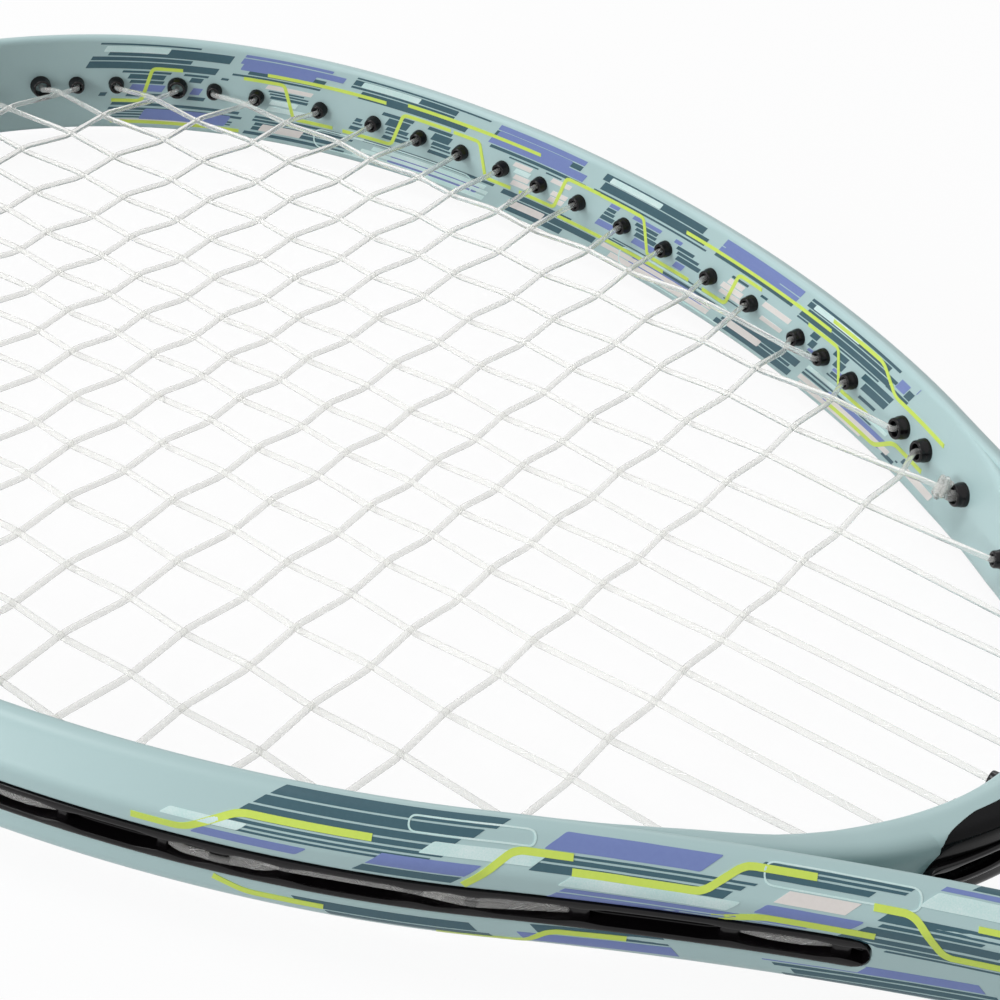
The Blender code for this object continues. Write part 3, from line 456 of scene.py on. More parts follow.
def faceOutwards(thing, merge=False):
    work = bmesh.new()
    work.from_mesh(thing.data)
    if merge:
        bmesh.ops.remove_doubles(work, verts=work.verts, dist=0.001 * mm)
    bmesh.ops.recalc_face_normals(work, faces=work.faces)
    work.to_mesh(thing.data)
    work.free()
    return thing


def loft(name, rows, closed=False):
    # tube of quads through rows of points, its ends closed by a fan, or joined if it is a ring
    size = len(rows[0])
    vertices = [point for row in rows for point in row]
    faces = []
    for i in range(len(rows) - 1):
        for j in range(size):
            k = (j + 1) % size
            faces.append((i * size + j, i * size + k, (i + 1) * size + k, (i + 1) * size + j))
    if not closed:
        for i, row in ((0, rows[0]), (len(rows) - 1, rows[-1])):
            middle = len(vertices)
            vertices.append(sum(row, Vector((0, 0, 0))) / size)
            for j in range(size):
                a, b = i * size + j, i * size + (j + 1) % size
                faces.append((b, a, middle) if i == 0 else (a, b, middle))
    return faceOutwards(placeMesh(name, vertices, faces), closed)


def joined(name, things):
    work = bmesh.new()
    for thing in things:
        work.from_mesh(thing.data)
    mesh = bpy.data.meshes.new(name)
    for slotMaterial in things[0].data.materials:
        mesh.materials.append(slotMaterial)
    work.to_mesh(mesh)
    work.free()
    for thing in things:
        bpy.data.objects.remove(thing, do_unlink=True)
    return addObject(name, mesh)


def filleted(points, cuts, steps=7, most=0.48):
    # run through points, whose corners become arcs that start a cut away
    run = [points[0]]
    for before, corner, after, cut in zip(points, points[1:], points[2:], cuts):
        back, on = before - corner, after - corner
        reach = min(cut, back.length * most, on.length * most)
        start = corner + back.normalized() * reach
        finish = corner + on.normalized() * reach
        for i in range(steps + 1):
            t = i / steps
            run.append(start * (1 - t) ** 2 + corner * 2 * t * (1 - t) + finish * t * t)
    return run + [points[-1]]


def roundedRun(corners, steps=6):
    # open flat outline through corners (a, b, cut)
    return filleted([Vector(c[:2]) for c in corners], [c[2] for c in corners[1:]], steps, 0.49)


def mirrored(run):
    # whole closed outline from its upper half, whose two ends lie on the middle plane
    return run + [Vector((p.x, -p.y)) for p in reversed(run[1:-1])]


def sectionRow(place, run):
    # ring of a piece's section at a place along it, from the run round its upper half
    return [Vector((place, p.x, p.y)) for p in mirrored(run)]


def steppedLengths(start, end, step):
    count = max(1, round((end - start) / step))
    return [start + (end - start) * i / count for i in range(count + 1)]


def fineNear(half, step, fineStart, fineEnd, fineStep):
    # places from -half to half, with finer ones between two distances from the middle
    places = set(steppedLengths(-half, half, step))
    for side in (-1, 1):
        places |= {side * place for place in steppedLengths(fineStart, fineEnd, fineStep)}
    return sorted(places)


# Node trees

def newTree(name, treeKind, inputs, output):
    # inputs and output are (name, kind); gives the tree and what its inputs put out
    tree = bpy.data.node_groups.new(name, treeKind)
    for label, kind in inputs:
        tree.interface.new_socket(label, in_out="INPUT", socket_type="NodeSocket" + kind)
    tree.interface.new_socket(output[0], in_out="OUTPUT", socket_type="NodeSocket" + output[1])
    return tree, tree.nodes.new("NodeGroupInput").outputs


def addNode(tree, kind, inputs=None, **settings):
    # a node whose inputs are given as values or as sockets to link from
    node = tree.nodes.new(kind)
    for key, value in settings.items():
        setattr(node, key, value)
    for key, value in (inputs or {}).items():
        socket = node.inputs[key]
        if isinstance(value, bpy.types.NodeSocket):
            tree.links.new(value, socket)
        else:
            socket.default_value = value
    return node


def calc(tree, operation, *values):
    return addNode(tree, "ShaderNodeMath", dict(enumerate(values)), operation=operation).outputs[0]


def calcVector(tree, operation, *values):
    return addNode(tree, "ShaderNodeVectorMath", dict(enumerate(values)), operation=operation).outputs[0]


def mapRange(tree, value, low, high, toLow=0.0, toHigh=1.0):
    return addNode(tree, "ShaderNodeMapRange", {0: value, 1: low, 2: high, 3: toLow, 4: toHigh}).outputs[0]


def mixed(tree, share, one, other):
    return addNode(tree, "ShaderNodeMix", {0: share, 2: one, 3: other}, data_type="FLOAT").outputs[0]


def mixedColour(tree, share, one, other):
    return addNode(tree, "ShaderNodeMix", {0: share, 6: one, 7: other}, data_type="RGBA").outputs[2]


def noise(tree, vector, scale, detail):
    inputs = {"Vector": vector, "Scale": scale, "Detail": detail}
    return addNode(tree, "ShaderNodeTexNoise", inputs).outputs[0]


def newGeometryTree(name, inputs):
    return newTree(name, "GeometryNodeTree", [("Geometry", "Geometry")] + inputs + [("Material", "Material")],
                   ("Geometry", "Geometry"))


def finishTree(tree, geometry, material):
    tree.is_modifier = True
    real = addNode(tree, "GeometryNodeRealizeInstances", {0: geometry})
    painted = addNode(tree, "GeometryNodeSetMaterial", {"Geometry": real.outputs[0], "Material": material})
    addNode(tree, "NodeGroupOutput", {0: painted.outputs[0]})
    return tree


def makeBendTree():
    # lays a straight piece along a path: x is the length from its middle, y the reach outwards
    tree, given = newGeometryTree("bendAlongPath", [("Path", "Object"), ("Half Length", "Float")])
    position = addNode(tree, "GeometryNodeInputPosition").outputs[0]
    place = addNode(tree, "ShaderNodeSeparateXYZ", {0: position}).outputs
    path = addNode(tree, "GeometryNodeObjectInfo", {"Object": given["Path"]}).outputs["Geometry"]
    length = calc(tree, "ADD", place["X"], given["Half Length"])
    spot = addNode(tree, "GeometryNodeSampleCurve", {"Curves": path, "Length": length}, mode="LENGTH").outputs
    outward = calcVector(tree, "NORMALIZE", calcVector(tree, "CROSS_PRODUCT", (0, 0, 1), spot["Tangent"]))
    reach = addNode(tree, "ShaderNodeVectorMath", {0: outward, "Scale": place["Y"]}, operation="SCALE")
    flat = calcVector(tree, "ADD", spot["Position"], reach.outputs[0])
    height = addNode(tree, "ShaderNodeCombineXYZ", {"Z": place["Z"]})
    there = calcVector(tree, "ADD", flat, height.outputs[0])
    moved = addNode(tree, "GeometryNodeSetPosition", {"Geometry": given["Geometry"], "Position": there})
    return finishTree(tree, moved.outputs[0], given["Material"])


def makeTubeTree():
    # round tube along a chain of edges, with attributes that run along it and round it
    tree, given = newGeometryTree("tubeAlongChain", [("Radius", "Float"), ("Sides", "Int")])
    curve = addNode(tree, "GeometryNodeMeshToCurve", {"Mesh": given["Geometry"]}).outputs[0]
    length = addNode(tree, "GeometryNodeSplineParameter").outputs["Length"]
    along = addNode(tree, "GeometryNodeStoreNamedAttribute", {
        "Geometry": curve, "Name": "alongTube", "Value": length})
    ring = addNode(tree, "GeometryNodeCurvePrimitiveCircle", {
        "Radius": given["Radius"], "Resolution": given["Sides"]}).outputs[0]
    unit = calcVector(tree, "NORMALIZE", addNode(tree, "GeometryNodeInputPosition").outputs[0])
    around = addNode(tree, "GeometryNodeStoreNamedAttribute", {
        "Geometry": ring, "Name": "aroundTube", "Value": unit}, data_type="FLOAT_VECTOR")
    tube = addNode(tree, "GeometryNodeCurveToMesh", {
        "Curve": along.outputs[0], "Profile Curve": around.outputs[0], "Fill Caps": True})
    smooth = addNode(tree, "GeometryNodeSetShadeSmooth", {"Geometry": tube.outputs[0]})
    return finishTree(tree, smooth.outputs[0], given["Material"])


def makeScatterTree():
    # one copy of an item on each point, turned to the point's own outward direction
    tree, given = newGeometryTree("itemOnPoints", [("Item", "Object")])
    item = addNode(tree, "GeometryNodeObjectInfo", {"Object": given["Item"]}).outputs["Geometry"]
    facing = addNode(tree, "GeometryNodeInputNamedAttribute", {"Name": "outward"},
                     data_type="FLOAT_VECTOR").outputs["Attribute"]
    turn = addNode(tree, "FunctionNodeAlignRotationToVector", {"Vector": facing}, axis="Z")
    points = addNode(tree, "GeometryNodeMeshToPoints", {"Mesh": given["Geometry"]}).outputs[0]
    copies = addNode(tree, "GeometryNodeInstanceOnPoints", {
        "Points": points, "Instance": item, "Rotation": turn.outputs[0]})
    return finishTree(tree, copies.outputs[0], given["Material"])


def pathCurve(name, points):
    data = bpy.data.curves.new(name, "CURVE")
    data.dimensions = "3D"
    spline = data.splines.new("POLY")
    spline.points.add(len(points) - 1)
    for knob, point in zip(spline.points, points):
        knob.co = (point.x, point.y, 0.0, 1.0)
    return addObject(name, data)


bendTree = makeBendTree()
tubeTree = makeTubeTree()
scatterTree = makeScatterTree()
rimCurve = pathCurve("rimPath", [Vector((-p.x, p.y)) for p in reversed(rimPoints[1:])] + rimPoints)
bridgeCurve = pathCurve("bridgePath", bridgeRun)


def runTree(thing, tree, values):
    # gives the object the plain mesh that the tree makes of it
    modifier = thing.modifiers.new(tree.name, "NODES")
    modifier.node_group = tree
    for item in tree.interface.items_tree:
        if item.item_type == "SOCKET" and item.in_out == "INPUT" and item.name in values:
            modifier[item.identifier] = values[item.name]
    bpy.context.view_layer.update()
    graph = bpy.context.evaluated_depsgraph_get()
    mesh = bpy.data.meshes.new_from_object(thing.evaluated_get(graph))
    thing.modifiers.remove(modifier)
    thing.data = mesh
    mesh.name = thing.name
    return thing


def bendOnRim(thing, material):
    return runTree(thing, bendTree, {"Path": rimCurve, "Half Length": rimTotal, "Material": material})


def bendOnBridge(thing, material):
    return runTree(thing, bendTree, {"Path": bridgeCurve, "Half Length": bridgeRunTotal / 2,
                                     "Material": material})


def tubeOn(name, points, radius, material, sides):
    chain = placeMesh(name, points, [], [(i, i + 1) for i in range(len(points) - 1)])
    return runTree(chain, tubeTree, {"Radius": radius, "Sides": sides, "Material": material})


def scatter(name, places, item, material):
    # places are pairs of a point and an outward direction
    thing = placeMesh(name, [point for point, _ in places], [])
    facing = thing.data.attributes.new("outward", "FLOAT_VECTOR", "POINT")
    for i, (_, direction) in enumerate(places):
        facing.data[i].vector = direction
    runTree(thing, scatterTree, {"Item": item, "Material": material})
    bpy.data.objects.remove(item, do_unlink=True)
    return thing


def turned(name, profile, segments):
    # lathe round z through pairs of height and radius that start and end on the axis
    angles = [2 * math.pi * i / segments for i in range(segments)]
    return loft(name, [[Vector((radius * math.cos(a), radius * math.sin(a), height)) for a in angles]
                       for height, radius in profile[1:-1]])


# Shader node groups: colour drift, grain height, uneven gloss and fine scuffs

def newGroup(name, labels, output):
    # shader group whose inputs and output are colours, a vector and plain numbers
    kinds = {"Vector": "Vector", "Colour": "Color", "Second": "Color"}
    inputs = [(label, kinds.get(label, "Float")) for label in labels]
    return newTree(name, "ShaderNodeTree", inputs, (output, kinds.get(output, "Float")))


def finishGroup(tree, result):
    addNode(tree, "NodeGroupOutput", {0: result})
    return tree


def makeDriftGroup():
    tree, given = newGroup("colourDrift", ("Vector", "Colour", "Second", "Scale", "Fine Scale", "Fine Share"),
                           "Colour")
    broad = noise(tree, given["Vector"], given["Scale"], 3.0)
    fine = noise(tree, given["Vector"], given["Fine Scale"], 1.0)
    share = mapRange(tree, mixed(tree, given["Fine Share"], broad, fine), 0.35, 0.65)
    return finishGroup(tree, mixedColour(tree, share, given["Colour"], given["Second"]))


def makeGrainGroup():
    tree, given = newGroup("surfaceGrain", ("Vector", "Scale", "Swell Scale", "Swell Share"), "Height")
    fine = noise(tree, given["Vector"], given["Scale"], 2.0)
    swell = noise(tree, given["Vector"], given["Swell Scale"], 2.0)
    return finishGroup(tree, mixed(tree, given["Swell Share"], fine, swell))


def makeGlossGroup():
    tree, given = newGroup("unevenGloss", ("Vector", "Low", "High", "Scale"), "Roughness")
    cloud = noise(tree, given["Vector"], given["Scale"], 4.0)
    return finishGroup(tree, mapRange(tree, cloud, 0.3, 0.7, given["Low"], given["High"]))


def makeScuffGroup():
    # thin marks, long one way, that come and go over the surface
    tree, given = newGroup("fineScuffs", ("Vector", "Scale"), "Mask")
    stretched = calcVector(tree, "MULTIPLY", given["Vector"], (0.12, 1.0, 1.0))
    thin = mapRange(tree, noise(tree, stretched, given["Scale"], 3.0), 0.60, 0.68)
    patches = mapRange(tree, noise(tree, given["Vector"], 55.0, 2.0), 0.48, 0.62)
    return finishGroup(tree, calc(tree, "MULTIPLY", thin, patches))


driftGroup = makeDriftGroup()
grainGroup = makeGrainGroup()
glossGroup = makeGlossGroup()
scuffGroup = makeScuffGroup()


def grouped(tree, group, inputs):
    return addNode(tree, "ShaderNodeGroup", inputs, node_tree=group).outputs[0]


def stringVector(tree, twist, stretch):
    # place round and along a string, in which filaments wind slowly round it
    along = addNode(tree, "ShaderNodeAttribute", attribute_name="alongTube").outputs["Fac"]
    around = addNode(tree, "ShaderNodeAttribute", attribute_name="aroundTube").outputs["Vector"]
    wound = addNode(tree, "ShaderNodeVectorRotate", {
        "Vector": around, "Angle": calc(tree, "MULTIPLY", along, twist)}, rotation_type="Z_AXIS")
    onward = addNode(tree, "ShaderNodeCombineXYZ", {"Z": calc(tree, "MULTIPLY", along, stretch)})
    return calcVector(tree, "ADD", wound.outputs[0], onward.outputs[0])


def finishMaterial(name, values):
    # a Principled surface with drifting colour, uneven gloss and a grain, from one dictionary
    look = {**plainLook, "second": [c * 0.92 for c in values["colour"]], **values}
    material = bpy.data.materials.new(name)
    material.use_nodes = True
    tree = material.node_tree
    shader = tree.nodes["Principled BSDF"]
    for label, value in look["shader"].items():
        shader.inputs[label].default_value = value
    if "twist" in look:
        vector = stringVector(tree, look["twist"], look["stretch"])
    else:
        vector = addNode(tree, "ShaderNodeTexCoord").outputs["Object"]
    base = grouped(tree, driftGroup, {
        "Vector": vector, "Colour": (*look["colour"], 1), "Second": (*look["second"], 1),
        "Scale": look["driftScale"], "Fine Scale": look["fineScale"], "Fine Share": look["fineShare"]})
    roughness = grouped(tree, glossGroup, {
        "Vector": vector, "Low": look["gloss"][0], "High": look["gloss"][1], "Scale": look["glossScale"]})
    if "scuff" in look:
        scuffs = grouped(tree, scuffGroup, {"Vector": vector, "Scale": look["scuffScale"]})
        base = mixedColour(tree, scuffs, base, (*look["scuff"], 1))
        roughness = calc(tree, "MULTIPLY_ADD", scuffs, look["scuffDull"], roughness)
    height = grouped(tree, grainGroup, {
        "Vector": vector, "Scale": look["grainScale"], "Swell Scale": look["swellScale"],
        "Swell Share": look["swellShare"]})
    bump = addNode(tree, "ShaderNodeBump", {
        "Height": height, "Strength": look["bump"], "Distance": look["bumpDepth"] * mm}).outputs[0]
    for value, label in ((base, "Base Color"), (roughness, "Roughness"), (bump, "Normal")):
        tree.links.new(value, shader.inputs[label])
    return material


plainLook = {
    "driftScale": 45.0, "fineScale": 1400.0, "fineShare": 0.4, "glossScale": 150.0, "scuffScale": 420.0,
    "scuffDull": 0.25, "grainScale": 1800.0, "swellScale": 80.0, "swellShare": 0.35, "bump": 0.15,
    "bumpDepth": 0.05, "shader": {},
}
filmLook = {"gloss": (0.34, 0.42), "bump": 0.05}
looks = {
    "aquaPaint": {"colour": (0.445, 0.612, 0.618), "second": (0.437, 0.604, 0.61), "gloss": (0.40, 0.45),
                  "fineScale": 2600.0, "bump": 0.08, "shader": {"Coat Weight": 0.12, "Coat Roughness": 0.25}},
    "grommetNylon": {"colour": (0.0035, 0.003, 0.0035), "second": (0.006, 0.005, 0.006),
                     "gloss": (0.12, 0.22), "glossScale": 300.0, "bump": 0.2,
                     "shader": {"Specular IOR Level": 0.28}},
    "guardNylon": {"colour": (0.009, 0.009, 0.010), "second": (0.014, 0.013, 0.014), "gloss": (0.22, 0.42),
                   "scuff": (0.12, 0.12, 0.12), "bump": 0.3, "shader": {"Specular IOR Level": 0.3}},
    "stringGut": {"colour": (0.965, 0.965, 0.95), "second": (0.95, 0.95, 0.93), "gloss": (0.22, 0.28),
                  "twist": 620.0, "stretch": 60.0, "driftScale": 1.1, "fineScale": 4.0, "fineShare": 0.6,
                  "glossScale": 2.0, "grainScale": 4.0, "swellScale": 1.4, "bump": 0.03, "bumpDepth": 0.02,
                  "shader": {"Transmission Weight": 0.78, "IOR": 1.24}},
    "navyFilm": {**filmLook, "colour": (0.034, 0.100, 0.130), "second": (0.042, 0.115, 0.148)},
    "bluebellFilm": {**filmLook, "colour": (0.175, 0.235, 0.52), "second": (0.19, 0.255, 0.54)},
    "limeFilm": {**filmLook, "colour": (0.66, 0.82, 0.13), "second": (0.62, 0.79, 0.11)},
    "blushFilm": {**filmLook, "colour": (0.82, 0.78, 0.75), "second": (0.78, 0.74, 0.71)},
    "frostFilm": {"colour": (0.56, 0.80, 0.78), "second": (0.76, 0.90, 0.89), "gloss": (0.3, 0.4),
                  "bump": 0.05, "driftScale": 110.0, "fineScale": 3800.0, "fineShare": 0.35},
    "throatBlack": {"colour": (0.003, 0.003, 0.0035), "second": (0.005, 0.005, 0.006), "gloss": (0.10, 0.18),
                    "bump": 0.05, "shader": {"Specular IOR Level": 0.1}},
    "handleFoam": {"colour": (0.10, 0.10, 0.11), "gloss": (0.7, 0.85), "grainScale": 900.0, "bump": 0.6},
    "capNylon": {"colour": (0.010, 0.010, 0.011), "second": (0.015, 0.015, 0.016), "gloss": (0.32, 0.48),
                 "grainScale": 1200.0, "bump": 0.4},
    "stapleSteel": {"colour": (0.58, 0.58, 0.57), "gloss": (0.22, 0.38), "shader": {"Metallic": 1.0}},
    "gripLeather": {"colour": (0.83, 0.83, 0.82), "second": (0.77, 0.77, 0.75), "gloss": (0.5, 0.68),
                    "grainScale": 700.0, "bump": 0.5, "bumpDepth": 0.12},
    "tapeVinyl": {"colour": (0.03, 0.10, 0.13), "second": (0.04, 0.12, 0.15), "gloss": (0.35, 0.5),
                  "bump": 0.4},
    "collarRubber": {"colour": (0.016, 0.017, 0.018), "gloss": (0.5, 0.65), "bump": 0.4},
    # the grip's perforations: a near-black colour that paints the shade inside each hole
    "holeDark": {"colour": (0.012, 0.009, 0.007), "gloss": (0.6, 0.8)},
}
materials = {name: finishMaterial(name, look) for name, look in looks.items()}
print("materials done:", len(materials))


def dress(thing, slotName, *replaced):
    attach(thing, "root")
    if replaced:
        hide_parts(*replaced)
    return thing


def finished(thing, crease, slotName, *replaced, paints=()):
    # dresses a piece whose edges crease where they turn more than an angle
    for paint in paints:
        thing.data.materials.append(materials[paint])
    thing.data.set_sharp_from_angle(angle=math.radians(crease))
    return dress(thing, slotName, *replaced)


# Frame: one moulding from shaft end to shaft end, modelled straight and laid along the rim

def rimHeight(length):
    share = clamp((abs(length) - splitLength) / (shaftLength - splitLength))
    return rim["halfHeight"] + (rim["shaftHalfHeight"] - rim["halfHeight"]) * share


def channelAt(length):
    # half height and depth of the groove: it ends round, then leaves the flank plain
    left = channelEnd - abs(length)
    half = rim["channelHalf"]
    if left <= 0:
        return rim["leastHalf"], 0.0
    if left < half:
        half = max(rim["leastHalf"], math.sqrt(half ** 2 - (half - left) ** 2))
    return half, rim["channelDepth"]


def grooveCorners(edge, half, depth, cut):
    # the groove's corners, from the mouth at an edge to the middle plane; without depth a plain wall
    turn = (edge + depth, half, cut) if depth else (edge, half / 2, 0.1 * mm)
    return [(edge, half, cut), turn, (edge + depth, 0, 0)]


def rimHalfOutline(length):
    high = rimHeight(length)
    half, depth = channelAt(length)
    corners = [(0, 0, 0), (0, high, rim["innerRound"]),
               (rim["crownAt"], high - rim["crownDrop"], rim["crownRound"]),
               (rim["width"], rim["shoulderHeight"], rim["shoulderRound"])]
    return roundedRun(corners + grooveCorners(rim["width"], half, -depth, rim["mouthRound"]), 7)


def makeFrame():
    roundFrom = channelEnd - rim["channelHalf"] - rim["endClear"]
    half = steppedLengths(0, roundFrom, rim["ringStep"])
    half += steppedLengths(roundFrom, channelEnd, rim["endStep"])[1:]
    half += [channelEnd + rim["endFace"]]
    half += steppedLengths(channelEnd + rim["endClear"], shaftLength, rim["ringStep"])
    half += steppedLengths(shaftLength, rimTotal, rim["shaftStep"])[1:]
    lengths = [-s for s in reversed(half[1:])] + half
    shell = loft("paintedFrame", [sectionRow(s, rimHalfOutline(s)) for s in lengths])
    finished(bendOnRim(shell, materials["aquaPaint"]), 50, "frame_paint", "frame")


makeFrame()
print("frame done")


# Bridge: from the head's wall back to a shallow bow, its two ends run into the arms

def bridgeStation(x):
    # the section's heights and roundings, eased between the given stations
    table = bridge["stations"]
    here = min(abs(x) / mm, table[-1][0])
    for a, b in zip(table, table[1:]):
        if here <= b[0]:
            t = (here - a[0]) / (b[0] - a[0])
            return [(p + (q - p) * t) * mm for p, q in zip(a[1:], b[1:])]


def bridgeHalfOutline(x):
    innerTop, innerRound, backTop, backRound = bridgeStation(x)
    drop = bridge["endDrop"] * clamp((abs(x) - bridge["endDropFrom"]) / bridge["endDropFade"]) ** 2
    inner = headLowerY(x) + bridgeLift(x) - drop
    outer = bridgeBackY(x)
    left = bridge["grooveEnd"] - abs(x)
    half, depth = rim["channelHalf"], rim["channelDepth"]
    if left < half:
        half = math.sqrt(max(0.0, half ** 2 - (half - max(left, 0)) ** 2))
    if left <= rim["leastHalf"]:
        half, depth = rim["leastHalf"], 0.0
    corners = [(inner, 0, 0), (inner, innerTop, innerRound), (outer, backTop, backRound)]
    return roundedRun(corners + grooveCorners(outer, half, depth, bridge["mouthRound"]), 9)


def makeBridge():
    end = bridge["grooveEnd"]
    fineStart, fineEnd = end - bridge["fineBefore"], end + bridge["fineAfter"]
    xs = fineNear(bridge["halfSpan"], bridge["ringStep"], fineStart, fineEnd, bridge["fineStep"])
    thing = loft("paintedBridge", [sectionRow(x, bridgeHalfOutline(x)) for x in xs])
    finished(thing, 50, "frame_paint", "bridge", paints=("aquaPaint", "throatBlack"))
    nearest, deepest = bridge["blackReach"]
    for face in thing.data.polygons:  # the groove's walls are black
        x, y, z = face.center
        if abs(x) < end and nearest < y - bridgeBackY(x) < deepest and abs(z) < bridge["blackHalf"]:
            face.material_index = 1


throatPlate = {
    "halfWidth": 34.3 * mm,
    "cornerStart": 22.3 * mm,
    "cornerPower": 1.2,
    "cornerLimit": 0.97,
    "crest": 5.35 * mm,  # its upper edge lies this far back from the bridge's inner wall
    "lift": 0.22 * mm,
    "edgeLift": 0.1 * mm,
    "sink": 0.15 * mm,
    "samples": 18,
    "ringStep": 1.0 * mm,
    "fineReach": 2.4 * mm,
    "fineStep": 0.2 * mm,
}


def skinPoint(outline, marks, v, lift):
    # a point on a half outline by its length from the inner wall's middle, minus for the lower side
    low, _ = spotOn(marks, abs(v))
    along = (outline[low + 1] - outline[low]).normalized()
    place = outline[low] + along * (abs(v) - marks[low]) + Vector((-along.y, along.x)) * lift
    return Vector((place.x, place.y if v >= 0 else -place.y))


def plateRing(x):
    # the cover's section: along the bridge's skin from the crest to the groove's mouth, and back
    outline = bridgeHalfOutline(x)
    marks = runningLengths(outline)
    limit = outline[0].x - throatPlate["crest"]
    crest = next(m + (n - m) * (p.x - limit) / (p.x - q.x)
                 for m, n, p, q in zip(marks, marks[1:], outline, outline[1:]) if q.x < limit)
    mouth = max(m for m, p in zip(marks, outline) if p.x < bridgeBackY(x) + 0.01 * mm)
    start = throatPlate["cornerStart"]
    part = clamp((abs(x) - start) / (throatPlate["halfWidth"] - start))
    fall = 1 - math.sqrt(max(0.0, 1 - part ** throatPlate["cornerPower"]))
    top = crest + (mouth - crest) * min(fall, throatPlate["cornerLimit"])
    count = throatPlate["samples"]
    spots = [top + (mouth - top) * i / count for i in range(count + 1)]
    lifts = [throatPlate["edgeLift"]] + [throatPlate["lift"]] * (count - 1) + [throatPlate["edgeLift"]]
    upper = [skinPoint(outline, marks, v, lift) for v, lift in zip(spots, lifts)]
    return upper + [skinPoint(outline, marks, v, -throatPlate["sink"]) for v in reversed(spots)]


def makeThroatPlate():
    # glossy black cover over the bridge's back, above and below the groove
    half = throatPlate["halfWidth"]
    fineStart = half - throatPlate["fineReach"]
    xs = fineNear(half, throatPlate["ringStep"], fineStart, half, throatPlate["fineStep"])
    rings = [(x, plateRing(x)) for x in xs]
    things = []
    for flip in (1, -1):
        rows = [[Vector((x, p.x, p.y * flip)) for p in ring] for x, ring in rings]
        things.append(loft("throatPlateHalf", rows))
    finished(joined("throatPlate", things), 50, "grommet_nylon", paints=("throatBlack",))


makeBridge()
makeThroatPlate()
print("bridge done")


# Grommet strips: a thin floor between two rounded lips that thicken at every hole

strip = {
    "bottom": 4.8 * mm,
    "halfHeight": 2.7 * mm,
    "top": 8.5 * mm,
    "lipAtHole": 1.2 * mm,  # the lips' inner faces, from the middle plane
    "lipBetween": 1.6 * mm,
    "lipSwell": 4.2 * mm,  # how far from a hole its lips are thicker
    "leastLip": 0.35 * mm,
    "leastShrink": 0.15,
    "round": 0.5 * mm,
    "floorRound": 0.3 * mm,
    "ringStep": 0.8 * mm,
    "endStep": 0.2 * mm,
    "jointGap": 1.2 * mm,
    "endGap": 0.25 * mm,
    "bridgeMargin": 3.8 * mm,
}
rib = {
    "reach": 7.7 * mm,
    "halfLength": 1.15 * mm,
    "mainShare": 1.6,  # a main's rib is this much longer
    "halfWidth": strip["lipAtHole"] + 0.55 * mm,
    "foot": strings["floor"] - 0.3 * mm,
    "shape": ((-1, 0.5), (-0.82, 0.9), (-0.5, 1), (0.5, 1), (0.82, 0.9), (1, 0.5)),
}
guard = {
    "inner": 8.5 * mm,
    "outer": 9.8 * mm,
    "skirt": 5.3 * mm,
    "skirtDrop": 0.4 * mm,
    "lipHalf": 1.85 * mm,
    "round": 0.55 * mm,
    "ringStep": 1.2 * mm,
    "fineReach": 3 * mm,
    "fineStep": 0.25 * mm,
}
barrel = {
    # outer radius, bore and the bore of the ring at the outer end, in mm
    "narrow": (1.85, 0.98, 0.95),
    "wide": (2.45, 1.6, 1.2),
    "boreDepth": 3.2,
    "depth": 4.4,
    "segments": 18,
    "mouthSegments": 16,
}


def lipInner(length, places):
    # distance of the lips' inner faces from the middle plane, smaller about each hole
    near = min(abs(length - place) for place in places)
    wave = 0.5 - 0.5 * math.cos(math.pi * min(near / strip["lipSwell"], 1))
    return strip["lipAtHole"] + (strip["lipBetween"] - strip["lipAtHole"]) * wave


def endShrink(length, start, end, reach):
    left = min(length - start, end - length)
    if left >= reach:
        return 1.0
    return max(strip["leastShrink"], math.sqrt(max(0.0, 1 - (1 - left / reach) ** 2)))


def stripRows(start, end, places, roundStart, roundEnd):
    tall, edge, soft = strip["halfHeight"], strip["round"], strip["floorRound"]
    bottom, top, floor = strip["bottom"], strip["top"], strings["floor"]
    lengths = set(steppedLengths(start, end, strip["ringStep"]))
    lengths |= set(steppedLengths(start, start + tall, strip["endStep"]))
    lengths |= set(steppedLengths(end - tall, end, strip["endStep"]))
    first = start if roundStart else start - 1
    last = end if roundEnd else end + 1
    rows = []
    for length in sorted(lengths):
        high = tall * endShrink(length, first, last, tall)
        inner = high / 2
        if high > 2 * strip["leastLip"]:
            inner = min(lipInner(length, places), high - strip["leastLip"])
        corners = [(bottom, 0, 0), (bottom, high, soft), (top, high, edge), (top, inner, edge),
                   (floor, inner, soft), (floor, 0, 0)]
        rows.append(sectionRow(length, roundedRun(corners, 5)))
    return rows


def guardRows():
    tall, inner, edge, lip = strip["halfHeight"], guard["inner"], guard["round"], guard["lipHalf"]
    bottom, floor, soft = strip["bottom"], strings["floor"], strip["floorRound"]
    rows = []
    for length in fineNear(bumperEnd, guard["ringStep"], bumperEnd - guard["fineReach"], bumperEnd,
                           guard["fineStep"]):
        shrink = endShrink(length, -bumperEnd, bumperEnd, guard["fineReach"])
        skirt = tall + (guard["skirt"] - tall) * shrink
        outer = inner + (guard["outer"] - inner) * shrink
        corners = [(bottom, 0, 0), (bottom, tall, soft), (inner, tall, 0.2 * mm), (inner, skirt, 0.15 * mm),
                   (outer, skirt - guard["skirtDrop"], edge), (outer, lip, edge), (floor, lip, soft),
                   (floor, 0, 0)]
        rows.append(sectionRow(length, roundedRun(corners, 5)))
    return rows


def barrelItem(size):
    radius, bore, _ = barrel[size]
    reach = strings["barrelReach"] / mm
    profile = [(barrel["boreDepth"], 0), (barrel["boreDepth"], bore), (0.5, bore), (0.2, bore + 0.08),
               (0.0, bore + 0.3), (0.0, radius - 0.42), (0.06, radius - 0.28), (0.2, radius - 0.16),
               (0.4, radius - 0.1), (reach * 0.55, radius - 0.02), (reach * 0.62, radius + 0.1),
               (barrel["depth"], radius + 0.16), (barrel["depth"], 0)]
    return turned("barrelItem", inMm(profile), barrel["segments"])


